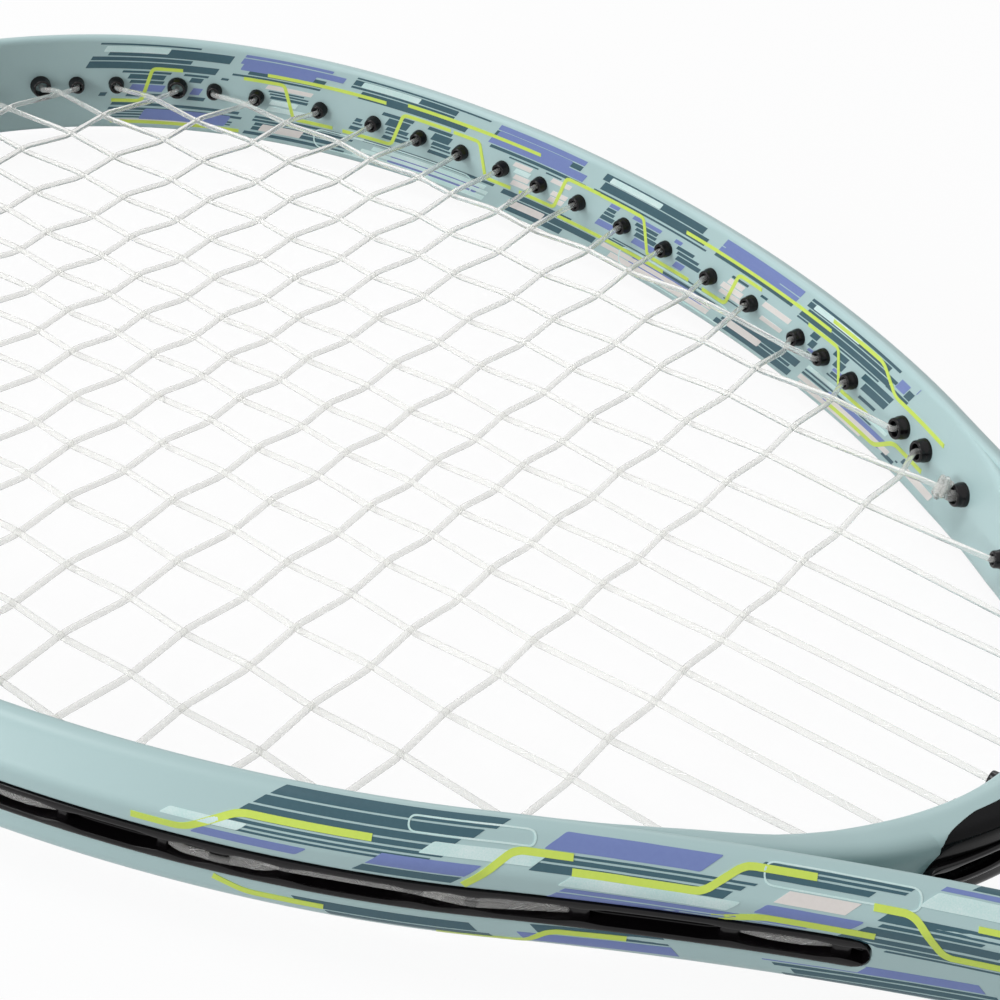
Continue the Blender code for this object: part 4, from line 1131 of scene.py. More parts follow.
def mouthItem(size):
    # raised ring on the strip's floor, round a hole's outer end
    bore = barrel[size][2]
    profile = [(-0.6, 0), (-0.6, bore + 0.55), (0.25, bore + 0.5), (0.4, bore + 0.3), (0.35, bore + 0.05),
               (0.1, bore), (-0.3, bore - 0.05), (-0.3, 0)]
    return turned("mouthItem", inMm(profile), barrel["mouthSegments"])


def ribBlocks(name, members):
    # blocks across the groove, one over each hole's mouth
    foot, high = rib["foot"], rib["halfWidth"]
    parts = []
    for hole in members:
        half = rib["halfLength"] * (rib["mainShare"] if hole["kind"] == "main" else 1)
        rows = []
        for share, shrink in rib["shape"]:
            reach = strings["floor"] - 0.2 * mm + (rib["reach"] - strings["floor"]) * shrink
            corners = [(foot, 0, 0), (foot, high, 0.1 * mm), (reach, high, 0.3 * mm),
                       (reach - 0.12 * mm, 0, 0)]
            rows.append(sectionRow(hole["length"] + share * half, roundedRun(corners, 3)))
        parts.append(loft("rib", rows))
    return joined(name, parts)


def inGuard(hole):
    return hole["kind"] == "main" and hole["end"] == "top" and abs(hole["tip"].x) < bumperHalfWidth


def stripFittings(name, members, material):
    things = []
    for size in ("narrow", "wide"):
        mine = [hole for hole in members if hole["wide"] == (size == "wide")]
        if mine:
            tips = [(onHole(hole, 0), (*hole["outward"], 0)) for hole in mine]
            things.append(scatter(name + "Barrels", tips, barrelItem(size), material))
            mouths = []
            for hole in mine:
                facing = hole["outward"] if hole["onBridge"] else rimFrame(hole["length"])[1]
                mouths.append((groovePlace(hole, strings["floor"]), (*facing, 0)))
            things.append(scatter(name + "Mouths", mouths, mouthItem(size), material))
    return things


def makeStrips():
    nylon, guardPaint = materials["grommetNylon"], materials["guardNylon"]
    pieces = {}
    for side, name in ((1, "sideStripRight"), (-1, "sideStripLeft")):
        members = [hole for hole in holes.values()
                   if hole["tip"].x * side > 0 and not inGuard(hole) and not hole["onBridge"]]
        places = [hole["length"] for hole in members]
        start, end = sorted((side * (bumperEnd + strip["jointGap"]), side * (channelEnd - strip["endGap"])))
        floor = bendOnRim(loft(name + "Floor", stripRows(start, end, places, side < 0, side > 0)), nylon)
        pieces[name] = [floor] + stripFittings(name, members, nylon)
        pieces[name].append(bendOnRim(ribBlocks(name + "Ribs", members), nylon))
    members = [hole for hole in holes.values() if inGuard(hole)]
    shell = bendOnRim(loft("guardShell", guardRows()), guardPaint)
    pieces["bumperGuard"] = [shell] + stripFittings("guard", members, guardPaint)
    members = [hole for hole in holes.values() if hole["onBridge"]]
    places = sorted(hole["length"] for hole in members)
    margin = strip["bridgeMargin"]
    rows = stripRows(places[0] - margin, places[-1] + margin, places, True, True)
    floor = bendOnBridge(loft("bridgeStripFloor", rows), nylon)
    pieces["bridgeStrip"] = [floor] + stripFittings("bridgeStrip", members, nylon)
    for (name, things), node in zip(pieces.items(), ("side_strip_right", "side_strip_left", "bumper_guard",
                                                     "bridge_strip")):
        finished(joined(name, things), 48, "grommet_nylon", node)


makeStrips()
print("strips done")


# Strings: two continuous lengths.  Each weaves over and under, leaves through its hole, lies in
# the groove to the next hole, rises over the mouths that it passes, and ends in a knot.

knot = {
    "turns": 3.8,
    "forwardTurns": 2.0,
    "perTurn": 18,
    "start": 1.2 * mm,
    "forth": 0.95,  # how far one turn goes on, and how far one comes back, in thicknesses
    "back": 0.8,
    "lean": 0.4 * mm,
    "leanPhase": 0.6,
    "slack": 0.05 * mm,
    "looseness": 0.1 * mm,
    "looseRate": 1.7,
    "over": 0.55,  # the turns that come back lie this much further out
    "overFrom": 0.4,
    # the stub's two bends: how far outwards, up and along, and the length in mm
    "stub": ((0.7, 0.8, -0.1, 1.0), (0.85, 0.55, -0.2, 2.4)),
    "step": 0.8 * mm,
}


def crossingZ(kind, main, cross):
    sign = 1 if (main + cross) % 2 == 0 else -1
    return sign * (strings["mainWave"] if kind == "main" else -strings["crossWave"])


def theyCross(main, cross):
    low, high = (holes[("main", main, end)]["tip"].y for end in ("bottom", "top"))
    return low + 2 * strings["radius"] < crossY(cross) < high - 2 * strings["radius"]


def crossingPoint(kind, main, cross):
    reach = abs(holes[("cross", cross, "right")]["tip"].x) - strings["wallClear"]
    x = math.copysign(min(abs(mainX(main)), reach), mainX(main))
    return Vector((x, crossY(cross), crossingZ(kind, main, cross)))


def curveThrough(points, step):
    # smooth curve through all points but the first and the last, which only steer it
    dense = []
    for p0, p1, p2, p3 in zip(points, points[1:], points[2:], points[3:]):
        span = (p2 - p1).length
        leave = (p2 - p0) * span / (span + (p1 - p0).length)
        arrive = (p3 - p1) * span / (span + (p3 - p2).length)
        count = max(3, math.ceil(span / step))
        for i in range(count):
            t = i / count
            rise = 3 * t ** 2 - 2 * t ** 3
            dense.append(p1 * (1 - rise) + leave * (t ** 3 - 2 * t ** 2 + t) + p2 * rise
                         + arrive * (t ** 3 - t ** 2))
    return dense + [points[-2]]


def eased(points, cut):
    return filleted(points, [cut] * len(points))


def mouthZ(hole):
    return strings["pairHalfGap"] if hole["shared"] else 0.0


def throughRun(hole, z):
    # from a barrel's mouth out to the groove
    return [onHole(hole, strings["mouthDepth"], z), onHole(hole, hole["exitDepth"], z)]


def insideRun(kind, number, start, end):
    if kind == "main":
        pairs = [(number, cross) for cross in range(1, crossCount + 1)]
    else:
        pairs = [(main, number) for main in range(strings["mainCount"], 0, -1)]
    row = [crossingPoint(kind, main, cross) for main, cross in pairs if theyCross(main, cross)]
    if start in ("top", "right"):
        row.reverse()
    leads = []
    for hole in (holes[(kind, number, start)], holes[(kind, number, end)]):
        z = mouthZ(hole)
        lead = [onHole(hole, strings["mouthDepth"], z), onHole(hole, -strings["mouthLead"], z)]
        if hole["shared"]:
            inward = 1 if hole["end"] == "bottom" else -1
            lead.append(onHole(hole, 0, z) + Vector((0, inward * strings["pairJoin"], 0)))
        leads.append(lead)
    return eased(leads[0] + row + leads[1][::-1], strings["kink"])


def spanRun(first, last, side):
    # over the groove from one hole to the next, low between the mouths and high over them
    startZ, endZ = mouthZ(first), mouthZ(last)
    points = []
    if first["onBridge"]:
        x = (first["tip"].x + last["tip"].x) / 2
        points.append(Vector((x, bridgeBackY(x) + rim["width"] - groove["low"], 0)))
    else:
        low, high = sorted((first["length"], last["length"]))
        thick = 2 * strings["radius"]
        passed = [hole for hole in holes.values()
                  if not hole["onBridge"] and low + thick < hole["length"] < high - thick]
        passed.sort(key=lambda hole: hole["length"], reverse=last["length"] < first["length"])
        row = [first] + passed + [last]
        z = side * strings["pairHalfGap"] if passed else (startZ + endZ) / 2
        for before, hole in zip(row, row[1:]):
            gap = hole["length"] - before["length"]
            for share in strings["spanShares"]:
                length = before["length"] + gap * share
                points.append(rimPlace(length, groove["low"] + strings["spanRise"], z))
            if hole is not last:
                points.append(rimPlace(hole["length"], groove["high"], z))
    return eased(throughRun(first, startZ) + points + throughRun(last, endZ)[::-1], strings["spanRound"])


def tailRun(start, points, tie):
    # from a string's last hole, over the groove, to the hole that it is tied off in
    inward = throughRun(tie, -strings["pairHalfGap"])[::-1]
    return eased(throughRun(start, 0) + points + inward, strings["spanRound"])


def midLength(one, other):
    return (one["length"] + other["length"]) / 2


def lowTail(end, outer, following, tie):
    # the outermost main's tail, over three mouths, down to its tie-off hole
    pair, high = strings["pairHalfGap"], groove["high"]
    start, third, last = (holes[("main", number, "bottom")] for number in (outer, following, tie))
    second, fourth = (holes[("cross", number, end)] for number in (2, 1))
    points = [rimPlace(midLength(start, second), groove["low"] + strings["spanRise"], pair),
              rimPlace(second["length"], high, pair), rimPlace(third["length"], high, pair),
              rimPlace(midLength(third, fourth), high, 0), rimPlace(fourth["length"], high, -pair)]
    return tailRun(start, points, last)


def knotRun(hole):
    # a tail comes out beside a main, winds twice round it, tucks in and ends in a stub
    along = Vector((0, 1 if hole["end"] == "bottom" else -1, 0))
    up = Vector((0, 0, 1))
    side = along.cross(up)
    pair = strings["pairHalfGap"]
    thick = 2 * strings["radius"]
    mouth = onHole(hole, strings["mouthDepth"], -pair)
    anchor = onHole(hole, 0, pair)
    points = [mouth, onHole(hole, -strings["tailLead"], -pair)]
    # two turns forwards, then nearly two back over them
    for i in range(int(knot["turns"] * knot["perTurn"]) + 1):
        turns = i / knot["perTurn"]
        angle = 2 * math.pi * turns
        forth = min(turns, knot["forwardTurns"])
        back = max(turns - knot["forwardTurns"], 0.0)
        lean = along * knot["lean"] * math.sin(angle + knot["leanPhase"])  # turns aren't quite square
        shift = knot["start"] + thick * (knot["forth"] * forth - knot["back"] * back)
        slack = knot["slack"] + knot["looseness"] * math.sin(knot["looseRate"] * angle) ** 2
        wind = thick * (1 + knot["over"] * min(back / knot["overFrom"], 1)) + slack
        points.append(anchor + along * shift + lean + (side * math.sin(angle) - up * math.cos(angle)) * wind)
    outside = Vector((math.copysign(1, hole["tip"].x), 0, 0))
    for out, rise, onward, reach in knot["stub"]:
        points.append(points[-1] + (outside * out + up * rise + along * onward) * reach * mm)
    steered = [mouth * 2 - points[1]] + points + [points[-1] * 2 - points[-2]]
    return curveThrough(steered, knot["step"])


def wovenRun(kind, count, ends, side):
    # back and forth through all rows of one kind, with the spans between them
    route = []
    for number in range(1, count + 1):
        start, end = ends if number % 2 == 1 else ends[::-1]
        route += insideRun(kind, number, start, end)
        if number < count:
            route += spanRun(holes[(kind, number, end)], holes[(kind, number + 1, end)], side)
    return route


def mainRoute():
    count = strings["mainCount"]
    before = knotRun(holes[("main", 3, "bottom")])[::-1] + lowTail("right", 1, 2, 3)[::-1]
    after = lowTail("left", count, count - 1, 14) + knotRun(holes[("main", 14, "bottom")])
    return before + wovenRun("main", count, ("bottom", "top"), 1) + after


def crossRoute():
    lowTie, topTie = holes[("main", 15, "bottom")], holes[("main", 5, "top")]
    first, last = holes[("cross", 1, "left")], holes[("cross", crossCount, "right")]
    lowPoints = [rimPlace(midLength(first, lowTie), groove["low"], -strings["pairHalfGap"])]
    topPoints = [rimPlace(holes[("main", number, "top")]["length"], groove["high"], 0) for number in (3, 4)]
    before = knotRun(lowTie)[::-1] + tailRun(first, lowPoints, lowTie)[::-1]
    after = tailRun(last, topPoints, topTie) + knotRun(topTie)
    return before + wovenRun("cross", crossCount, ("left", "right"), -1) + after


def withoutDoubles(points):
    kept = [points[0]]
    for point in points[1:]:
        if (point - kept[-1]).length > strings["leastStep"]:
            kept.append(point)
    return kept


for name, node, makeRoute in (("mainString", "main_string", mainRoute),
                              ("crossString", "cross_string", crossRoute)):
    route = withoutDoubles(makeRoute())
    thing = tubeOn(name, route, strings["radius"], materials["stringGut"], strings["sides"])
    dress(thing, "string_gut", node)
    print(name, "done:", len(route), "points")


# Printed trim: thin films laid on the painted surface, in bands of bars, blocks and lines

trim = {
    # how far each film stands off the paint, so that the later prints lie on the earlier ones
    "lifts": {"navyFilm": 0.05 * mm, "bluebellFilm": 0.065 * mm, "blushFilm": 0.08 * mm,
              "frostFilm": 0.095 * mm, "limeFilm": 0.115 * mm},
    "sink": 0.05 * mm,
    "gap": 0.32 * mm,
    "columnStep": 2.4 * mm,
    "steepStep": 0.4 * mm,
    "outlineStep": 2 * mm,
    "haloRadius": 3.5 * mm,  # bare paint round each barrel
    "leastBar": 1.2 * mm,
    "leastRoom": 0.3 * mm,
    "endShares": (0.04, 0.15, 0.34, 0.6, 1.0),
    "lineCut": 1.6 * mm,
    "panelCut": 2.4 * mm,
    "stepCut": 1.2 * mm,
    "seed": 11,
}
films = {name: {"vertices": [], "faces": []} for name in trim["lifts"]}
outlineStore = {}


def storedOutline(length):
    key = 0 if abs(length) < splitLength else round(abs(length) / trim["outlineStep"])
    if key not in outlineStore:
        outline = rimHalfOutline(key * trim["outlineStep"])
        outlineStore[key] = (outline, runningLengths(outline))
    return outlineStore[key]


plainMarks = storedOutline(0)[1]


def onSkin(kind, pen, length, v, top):
    # adds a point of a film's top or underside; a pen is the side and the face that it prints on
    place = skinPoint(*storedOutline(length), v * pen[1], trim["lifts"][kind] if top else -trim["sink"])
    films[kind]["vertices"].append((length * pen[0], place.x, place.y))


def closeStrip(kind, base, count, wide):
    # faces of a closed thin slab of count columns, each with wide top points, then wide under points
    row = 2 * wide
    faces = films[kind]["faces"]
    for i in range(count - 1):
        for j in range(wide - 1):
            a = base + i * row + j
            b = a + wide
            faces += [(a, a + row, a + row + 1, a + 1), (b, b + 1, b + row + 1, b + row)]
        for j in (0, wide - 1):
            a = base + i * row + j
            faces.append((a, a + wide, a + wide + row, a + row))
    for i in (0, count - 1):
        for j in range(wide - 1):
            a = base + i * row + j
            faces.append((a, a + 1, a + 1 + wide, a + wide))


def filmBar(kind, pen, start, end, low, high, lean, rounding=0.0):
    # bar from start to end along the rim and from low to high across its skin; lean slants its ends
    rounding = min(rounding, (end - start) / 2, (high - low) / 2)
    columns = set(steppedLengths(start, end, trim["columnStep"]))
    clear = 0.1 * mm
    across = {low, high} | {m * s for m in plainMarks for s in (1, -1) if low + clear < m * s < high - clear}
    if rounding > 0:
        across |= {low + rounding, high - rounding}
        for share in trim["endShares"]:
            columns |= {start + rounding * share, end - rounding * share}
    middle = (low + high) / 2
    base = len(films[kind]["vertices"])
    for column in sorted(columns):
        left = min(column - start, end - column)
        cut = 0.0
        if left < rounding:
            cut = rounding - math.sqrt(max(0.0, rounding ** 2 - (rounding - left) ** 2))
        for top in (True, False):
            for v in sorted(across):
                kept = clamp(v, low + cut, high - cut)
                onSkin(kind, pen, column + lean * (kept - middle), kept, top)
    closeStrip(kind, base, len(columns), len(across))


def filmLine(kind, pen, points, width, cut):
    # line of one width through points (length, v), its corners rounded off
    smooth = roundedRun([(*p, cut) for p in points])
    dense = []
    for a, b in zip(smooth, smooth[1:]):
        step = trim["columnStep"] if abs(b.y - a.y) < 0.3 * abs(b.x - a.x) else trim["steepStep"]
        count = max(1, math.ceil((b - a).length / step))
        dense += [a.lerp(b, i / count) for i in range(count)]
    dense.append(smooth[-1])
    base = len(films[kind]["vertices"])
    for i, point in enumerate(dense):
        along = (dense[min(i + 1, len(dense) - 1)] - dense[max(i - 1, 0)]).normalized()
        across = Vector((-along.y, along.x)) * width / 2
        for top in (True, False):
            for spot in (point + across, point - across):
                onSkin(kind, pen, spot.x, spot.y, top)
    closeStrip(kind, base, len(dense), 2)


def openRuns(start, end, low, high, halos):
    # what is left of a bar when the bare places round the barrels are cut out
    near = 0.0 if low < 0 < high else min(abs(low), abs(high))
    runs = [(start, end)]
    if near < trim["haloRadius"]:
        half = math.sqrt(trim["haloRadius"] ** 2 - near ** 2)
        for spot in halos:
            runs = [piece for a, b in runs for piece in ((a, min(b, spot - half)), (max(a, spot + half), b))
                    if piece[1] - piece[0] > trim["leastBar"]]
    return runs


def stripes(rng, pen, place, lean, mix, halos=()):
    # rows of thin bars with slanted, staggered ends; mix gives each bar's film and height in mm
    start, end, low, high = place
    v = low
    while v < high - trim["leastRoom"]:
        kind, tall = rng.choice(mix)
        tall = min(tall * rng.uniform(0.85, 1.2) * mm, high - v)
        shift = lean * (v + tall / 2 - (low + high) / 2)
        first = start + shift + rng.choice((0, 0, 0, 1.2, 3.5)) * mm
        last = end + shift - rng.choice((0, 0, 1.5, 4, 9)) * mm
        for a, b in openRuns(first, last, v, v + tall, halos):
            filmBar(kind, pen, a, b, v, v + tall, lean)
        v += tall + trim["gap"] * rng.choice((1, 1, 1, 1.8))


def graded(kind, pen, place, heights, lean):
    # speed lines: bars that get thinner one after another, each starting a little later
    start, end, low = place
    v = low
    for k, tall in enumerate(heights):
        shift = lean * (v - low)
        filmBar(kind, pen, start + shift, end + shift - 1.1 * mm * (k % 3), v, v + tall * mm, lean)
        v += tall * mm + trim["gap"]


navyMix = [("navyFilm", 0.5), ("navyFilm", 0.9), ("navyFilm", 1.4), ("navyFilm", 2.0)]
coolMix = navyMix + [("bluebellFilm", 1.8), ("bluebellFilm", 0.8)]
paleMix = [("navyFilm", 0.4), ("blushFilm", 1.3), ("navyFilm", 0.7), ("frostFilm", 1.1)]

# the face by the throat, in printing order: start, end, low and high in mm, then a single film or a
# mix of bars; three numbers start speed lines, which the heights follow
facePrints = [
    ((307, 341, 13.8), (1.9, 1.5, 1.1, 0.8, 0.5, 0.4, 0.35)),
    ((296, 312, 22.9, 24.4), "bluebellFilm"),
    ((291, 303, 20.9, 22.2), "frostFilm"),
    ((318, 345, 21.4, 25.6), coolMix),
    ((330, 347, 18.6, 20.6), "frostFilm"),
    ((349, 373, 14.7, 17.7), "bluebellFilm"),
    ((348, 380, 18.1), (0.4, 0.7, 1.3)),
    ((350, 388, 23.4, 25.7), coolMix),
    ((351, 377, 21.2, 23.0), "frostFilm"),
    ((378, 402, 14.6, 17.9), navyMix),
    ((384, 395, 18.3, 20.4), "blushFilm"),
    ((381, 396, 20.9, 22.6), "bluebellFilm"),
    ((398, 424, 19.0, 23.0), coolMix),
    ((406, 424, 14.4, 17.0), "frostFilm"),
    ((394, 432, 23.5), (0.9, 0.6, 0.35)),
    ((409, 440, 11.6, 14.0), coolMix),
    ((428, 437, 17.6, 19.6), "blushFilm"),
    ((430, 458, 14.5, 17.2), navyMix),
    ((428, 462, 20.0, 25.2), coolMix),
]
facePanels = [(327, 346, 15.1, 17.6), (381, 405, 14.4, 18.0)]
faceLines = [
    (1.2, [(286, 23.9), (294, 23.9), (302, 19.4), (322, 19.4)]),
    (1.2, [(336, 25.2), (343, 18.4), (352, 18.4)]),
    (1.2, [(352, 20.6), (372, 20.6), (378, 15.6), (389, 15.6)]),
    (1.2, [(374, 24.9), (382, 23.2), (399, 23.2)]),
    (1.2, [(398, 18.4), (404, 18.4), (410, 24.6), (422, 24.6)]),
    (1.0, [(414, 18.6), (432, 18.6), (437, 13.2), (447, 13.2)]),
]
edgePrints = [
    ((312, 340, 21.9, 25.4), navyMix),
    ((345, 378, 22.0, 25.6), coolMix),
    ((384, 420, 20.6, 25.4), coolMix),
]
edgeLines = [
    (1.0, [(299, 25.3), (304, 23.6), (316, 23.6)]),
    (1.0, [(333, 21.6), (346, 21.6), (350, 24.6), (362, 24.6)]),
]
innerRuns = (34, 27, 38, 30, 36, 26, 33, 24)
innerPanels = [(141, 186, -10.6, -5.6), (232, 268, -10.6, -5.4)]
innerLines = [(0.9, [(start, level), ((start + end) / 2, level), (end, level)]) for start, end, level in (
    (88, 121, -10.3), (128, 160, 6.3), (166, 205, 7.4), (212, 246, -6.2), (251, 300, 6.8))]
innerLines += [
    (1.0, [(300, 9.4), (318, 9.4), (324, 4.6), (343, 4.6)]),
    (1.0, [(304, -9.6), (321, -9.6), (327, -5.2), (338, -5.2)]),
]


def printLines(pen, lines, panels=(), panelWidth=0.0):
    # outlines of rounded panels, then lime lines
    for place in panels:
        start, end, low, high = inMm(place)
        middle = (start + end) / 2
        corners = [(middle, low), (start, low), (start, high), (end, high), (end, low), (middle, low)]
        filmLine("frostFilm", pen, corners, panelWidth * mm, trim["panelCut"])
    for width, points in lines:
        filmLine("limeFilm", pen, inMm(points), width * mm, trim["lineCut"])


def faceTrim(rng, pen):
    # upper or lower face by the throat: speed lines, colour blocks and lime lines
    lean = -1.1
    for place, what in facePrints:
        if len(place) == 3:
            graded("navyFilm", pen, inMm(place), what, lean)
        elif isinstance(what, str):
            filmBar(what, pen, *inMm(place), lean, 0.0 if what == "blushFilm" else 0.3 * mm)
        else:
            stripes(rng, pen, inMm(place), lean, what)
    printLines(pen, faceLines, facePanels, 0.3)


def edgeTrim(rng, pen):
    # narrow marks along the groove's edge of the plainer face
    for place, mix in edgePrints:
        stripes(rng, pen, inMm(place), -0.9, mix)
    printLines(pen, edgeLines)


def innerTrim(rng, pen):
    # whole inner face, bare round the barrels
    halos = sorted(abs(hole["length"]) for hole in holes.values() if not hole["onBridge"]
                   and hole["tip"].x * pen[0] > 0 and hole["length"] * pen[0] > 60 * mm)
    lean = 0.6
    place, finish = 84 * mm, 331 * mm
    for k, run in enumerate(innerRuns):
        start, end = place, min(place + run * mm, finish)
        mixes = (coolMix, paleMix, navyMix) if k % 2 else (navyMix, coolMix, paleMix)
        zones = ((start, end, (4.2 + 0.6 * (k % 3)) * mm, 11.0 * mm),
                 (start + 2 * mm, end - 2 * mm, -3.4 * mm, 3.7 * mm),
                 (start + 3 * mm, end + 3 * mm, -10.8 * mm, (-4.6 - 0.7 * (k % 2)) * mm))
        for zone, mix in zip(zones, mixes):
            stripes(rng, pen, zone, lean, mix, halos)
        if k % 2 == 0:
            filmBar("frostFilm", pen, start + 3 * mm, start + 19 * mm, 8.6 * mm, 10.2 * mm, lean, 0.3 * mm)
            filmBar("bluebellFilm", pen, start + 12 * mm, end, -9.6 * mm, -6.6 * mm, lean, 0.5 * mm)
        else:
            filmBar("bluebellFilm", pen, start + 1 * mm, end - 7 * mm, 6.6 * mm, 9.4 * mm, lean, 0.5 * mm)
            filmBar("blushFilm", pen, start + 6 * mm, start + 17 * mm, -9.4 * mm, -7.4 * mm, lean, 0.3 * mm)
        place = end + 2.6 * mm
    # lime lines step between two levels halfway between two barrels
    spots = [h for h in halos if 86 * mm < h < 326 * mm]
    gaps = [(a + b) / 2 for a, b in zip(spots, spots[1:]) if b - a > 10 * mm]
    for k, middle in enumerate(gaps[::2]):
        reach = (9 + 3 * (k % 3)) * mm
        level = 4.4 * mm if k % 2 else -4.5 * mm
        corners = [(middle - reach, level), (middle - 1.4 * mm, level), (middle + 1.4 * mm, -level),
                   (middle + reach, -level)]
        filmLine("limeFilm", pen, corners, 0.9 * mm, trim["stepCut"])
    printLines(pen, innerLines, innerPanels, 0.35)


trimRandom = random.Random(trim["seed"])
for side in (1, -1):
    # turned half round the handle's line, the print is the same
    faceTrim(trimRandom, (side, -side))
    edgeTrim(trimRandom, (side, side))
    innerTrim(trimRandom, (side, side))
for name, film in films.items():
    thing = faceOutwards(placeMesh(name + "Trim", film["vertices"], film["faces"]))
    finished(bendOnRim(thing, materials[name]), 40, "frame_paint")
    print(name, "trim done:", len(film["faces"]), "faces")


# Handle: rounded octagon, butt cap with its plug and staples, wound grip, tape and collar

handle = {
    "halfWidth": 13.6 * mm,
    "halfHeight": 12.1 * mm,
    "corner": 5.6 * mm,
    "cornerRound": 2.0 * mm,
    "around": 96,
}
cap = {
    "length": 27 * mm,
    "stand": 1.8 * mm,
    "flare": 3.2 * mm,
    "flareLength": 17 * mm,
    "edgeRound": 0.9 * mm,
    "rings": 18,
    "grooveAt": 22.6 * mm,
    "grooveDepth": 0.35 * mm,
    "grooveHalf": 0.5 * mm,
    "plugRadius": 9.5 * mm,
    # height and radius of the plug's rings, mm
    "plug": [(1.1, 0), (1.1, 9.4), (0.3, 9.5), (0.05, 9.3), (0.0, 8.8), (0.0, 8.0), (0.3, 7.8), (0.3, 7.2),
             (0.0, 7.0), (0.0, 3.4), (0.25, 3.2), (0.25, 2.6), (0.0, 2.4), (0.0, 0)],
}
staple = {
    "radius": 0.48 * mm,
    "halfLength": 4.5 * mm,
    "place": 20 * mm,
    "stand": 2.6 * mm,
    "depth": 1.5 * mm,
    "bend": 0.7 * mm,
}
grip = {
    "start": 27.5 * mm,
    "end": 188 * mm,
    "pitch": 23 * mm,
    "stretch": 1.02,
    "perTurn": 80,
    "out": 2.0 * mm,
    # across the band: share of its width, and how far out in mm; the first edge laps over the last turn
    "profile": [(0.0, 1.0), (0.0, 1.9), (0.006, 2.15), (0.02, 2.25), (0.06, 2.25), (0.12, 1.98), (0.2, 1.9),
                (0.5, 1.88), (0.8, 1.84), (0.95, 1.7), (0.99, 1.45), (1.0, 1.1), (1.0, 0.35), (0.5, 0.35),
                (0.03, 0.4)],
    "dotStep": 4.6 * mm,
    "dotShares": (0.3, 0.48, 0.66, 0.84),
    "dotSink": 0.115 * mm,
    "dotMargin": 1 * mm,
    "dotMissing": 0.004,
    "dotProfile": [(-0.12, 0), (-0.12, 0.42), (0.03, 0.42), (0.03, 0.34), (-0.06, 0.2), (-0.06, 0)],
    "seed": 5,
}
tape = {
    "length": 11 * mm,
    "inner": 2.3 * mm,
    "outer": 2.85 * mm,
    "edge": 0.15 * mm,
    "lap": 0.16 * mm,
    "lapFrom": (0.1, 0.004),  # share of the turn where the lap starts to rise, and in what share it has
    "lapTo": (0.27, 0.01),
}
collar = {
    "start": grip["end"] + 0.3 * mm,
    # place from its start and how far out, mm; three grooves on its lower half
    "profile": [(0, 0.35), (0, 1.8), (0.2, 2.0)]
    + [(1.6 + 2.1 * k + place, out) for k in range(3)
       for place, out in ((0, 2.0), (0.2, 1.7), (0.5, 1.7), (0.7, 2.0))]
    + [(7.6, 1.95), (13.5, 1.1), (14, 0.8), (14, 0.35), (5, 0.35)],
}


def octagonOutline():
    a, b, c, r = (handle[key] for key in ("halfWidth", "halfHeight", "corner", "cornerRound"))
    corners = [(a, c - b), (a, b - c), (a - c, b), (c - a, b)]
    corners += [(-x, -y) for x, y in corners]
    run = roundedRun([(*p, r) for p in corners[-1:] + corners + corners[:1]])[1:-1]
    run.append(run[0])
    lengths = runningLengths(run)
    points = []
    for i in range(handle["around"]):
        low, share = spotOn(lengths, lengths[-1] * i / handle["around"])
        points.append(run[low].lerp(run[low + 1], share))
    return points, lengths[-1]


octagonPoints, octagonLength = octagonOutline()


def octagonAt(share):
    # point and outward direction at a share of the way round
    count = len(octagonPoints)
    place = (share % 1.0) * count
    low = int(place) % count
    a, b, after = (octagonPoints[(low + step) % count] for step in range(3))
    along = (after - octagonPoints[low - 1]).normalized()
    return a.lerp(b, place - int(place)), Vector((along.y, -along.x))


def onHandle(share, y, out):
    point, normal = octagonAt(share)
    flat = point + normal * out
    return Vector((flat.x, y, flat.y))


def handleRing(y, out):
    return [onHandle(i / handle["around"], y, out) for i in range(handle["around"])]


def circleRing(y, radius):
    directions = [octagonAt(i / handle["around"])[0].normalized() for i in range(handle["around"])]
    return [Vector((direction.x * radius, y, direction.y * radius)) for direction in directions]


def capOut(y):
    share = max(0.0, 1 - y / cap["flareLength"])
    return cap["stand"] + cap["flare"] * share * share


def makeCap():
    end, edge, rings = cap["length"], cap["edgeRound"], cap["rings"]
    rows = [handleRing(y, out) for y, out in (
        (3.2 * mm, 0.3 * mm), (end, 0.3 * mm), (end, 1.2 * mm), (end - 0.2 * mm, 1.6 * mm),
        (end - 0.7 * mm, capOut(end)))]
    for i in range(rings + 1):
        y = (end - 1.4 * mm) * (1 - i / rings) + edge * i / rings
        dip = cap["grooveDepth"] * math.exp(-((y - cap["grooveAt"]) / cap["grooveHalf"]) ** 2)
        rows.append(handleRing(y, capOut(y) - dip))
    for angle in (30, 60, 90):
        a = math.radians(angle)
        rows.append(handleRing(edge * (1 - math.sin(a)), capOut(0) - edge * (1 - math.cos(a))))
    for y, gap in ((0, 0.8), (0.25, 0.35), (1.4, 0.3)):
        rows.append(circleRing(y * mm, cap["plugRadius"] + gap * mm))
    finished(loft("buttCap", rows), 35, "cap_nylon", "butt_cap", paints=("capNylon",))
    plug = turned("plugItem", inMm(cap["plug"]), 48)
    thing = scatter("buttPlug", [(Vector((0, 0, 0)), (0, 1, 0))], plug, materials["capNylon"])
    finished(thing, 35, "cap_nylon", "butt_plug")


def makeStaples():
    half = staple["halfLength"]
    for sign, name, node in ((1, "capStapleTop", "cap_staple_top"),
                             (-1, "capStapleBottom", "cap_staple_bottom")):
        high = sign * (handle["halfHeight"] + staple["stand"])
        deep = sign * (handle["halfHeight"] - staple["depth"])
        corners = ((-half, deep), (-half, high), (half, high), (half, deep))
        route = [Vector((x, staple["place"], z)) for x, z in corners]
        thing = tubeOn(name, eased(route, staple["bend"]), staple["radius"], materials["stapleSteel"], 12)
        dress(thing, "staple_steel", node)


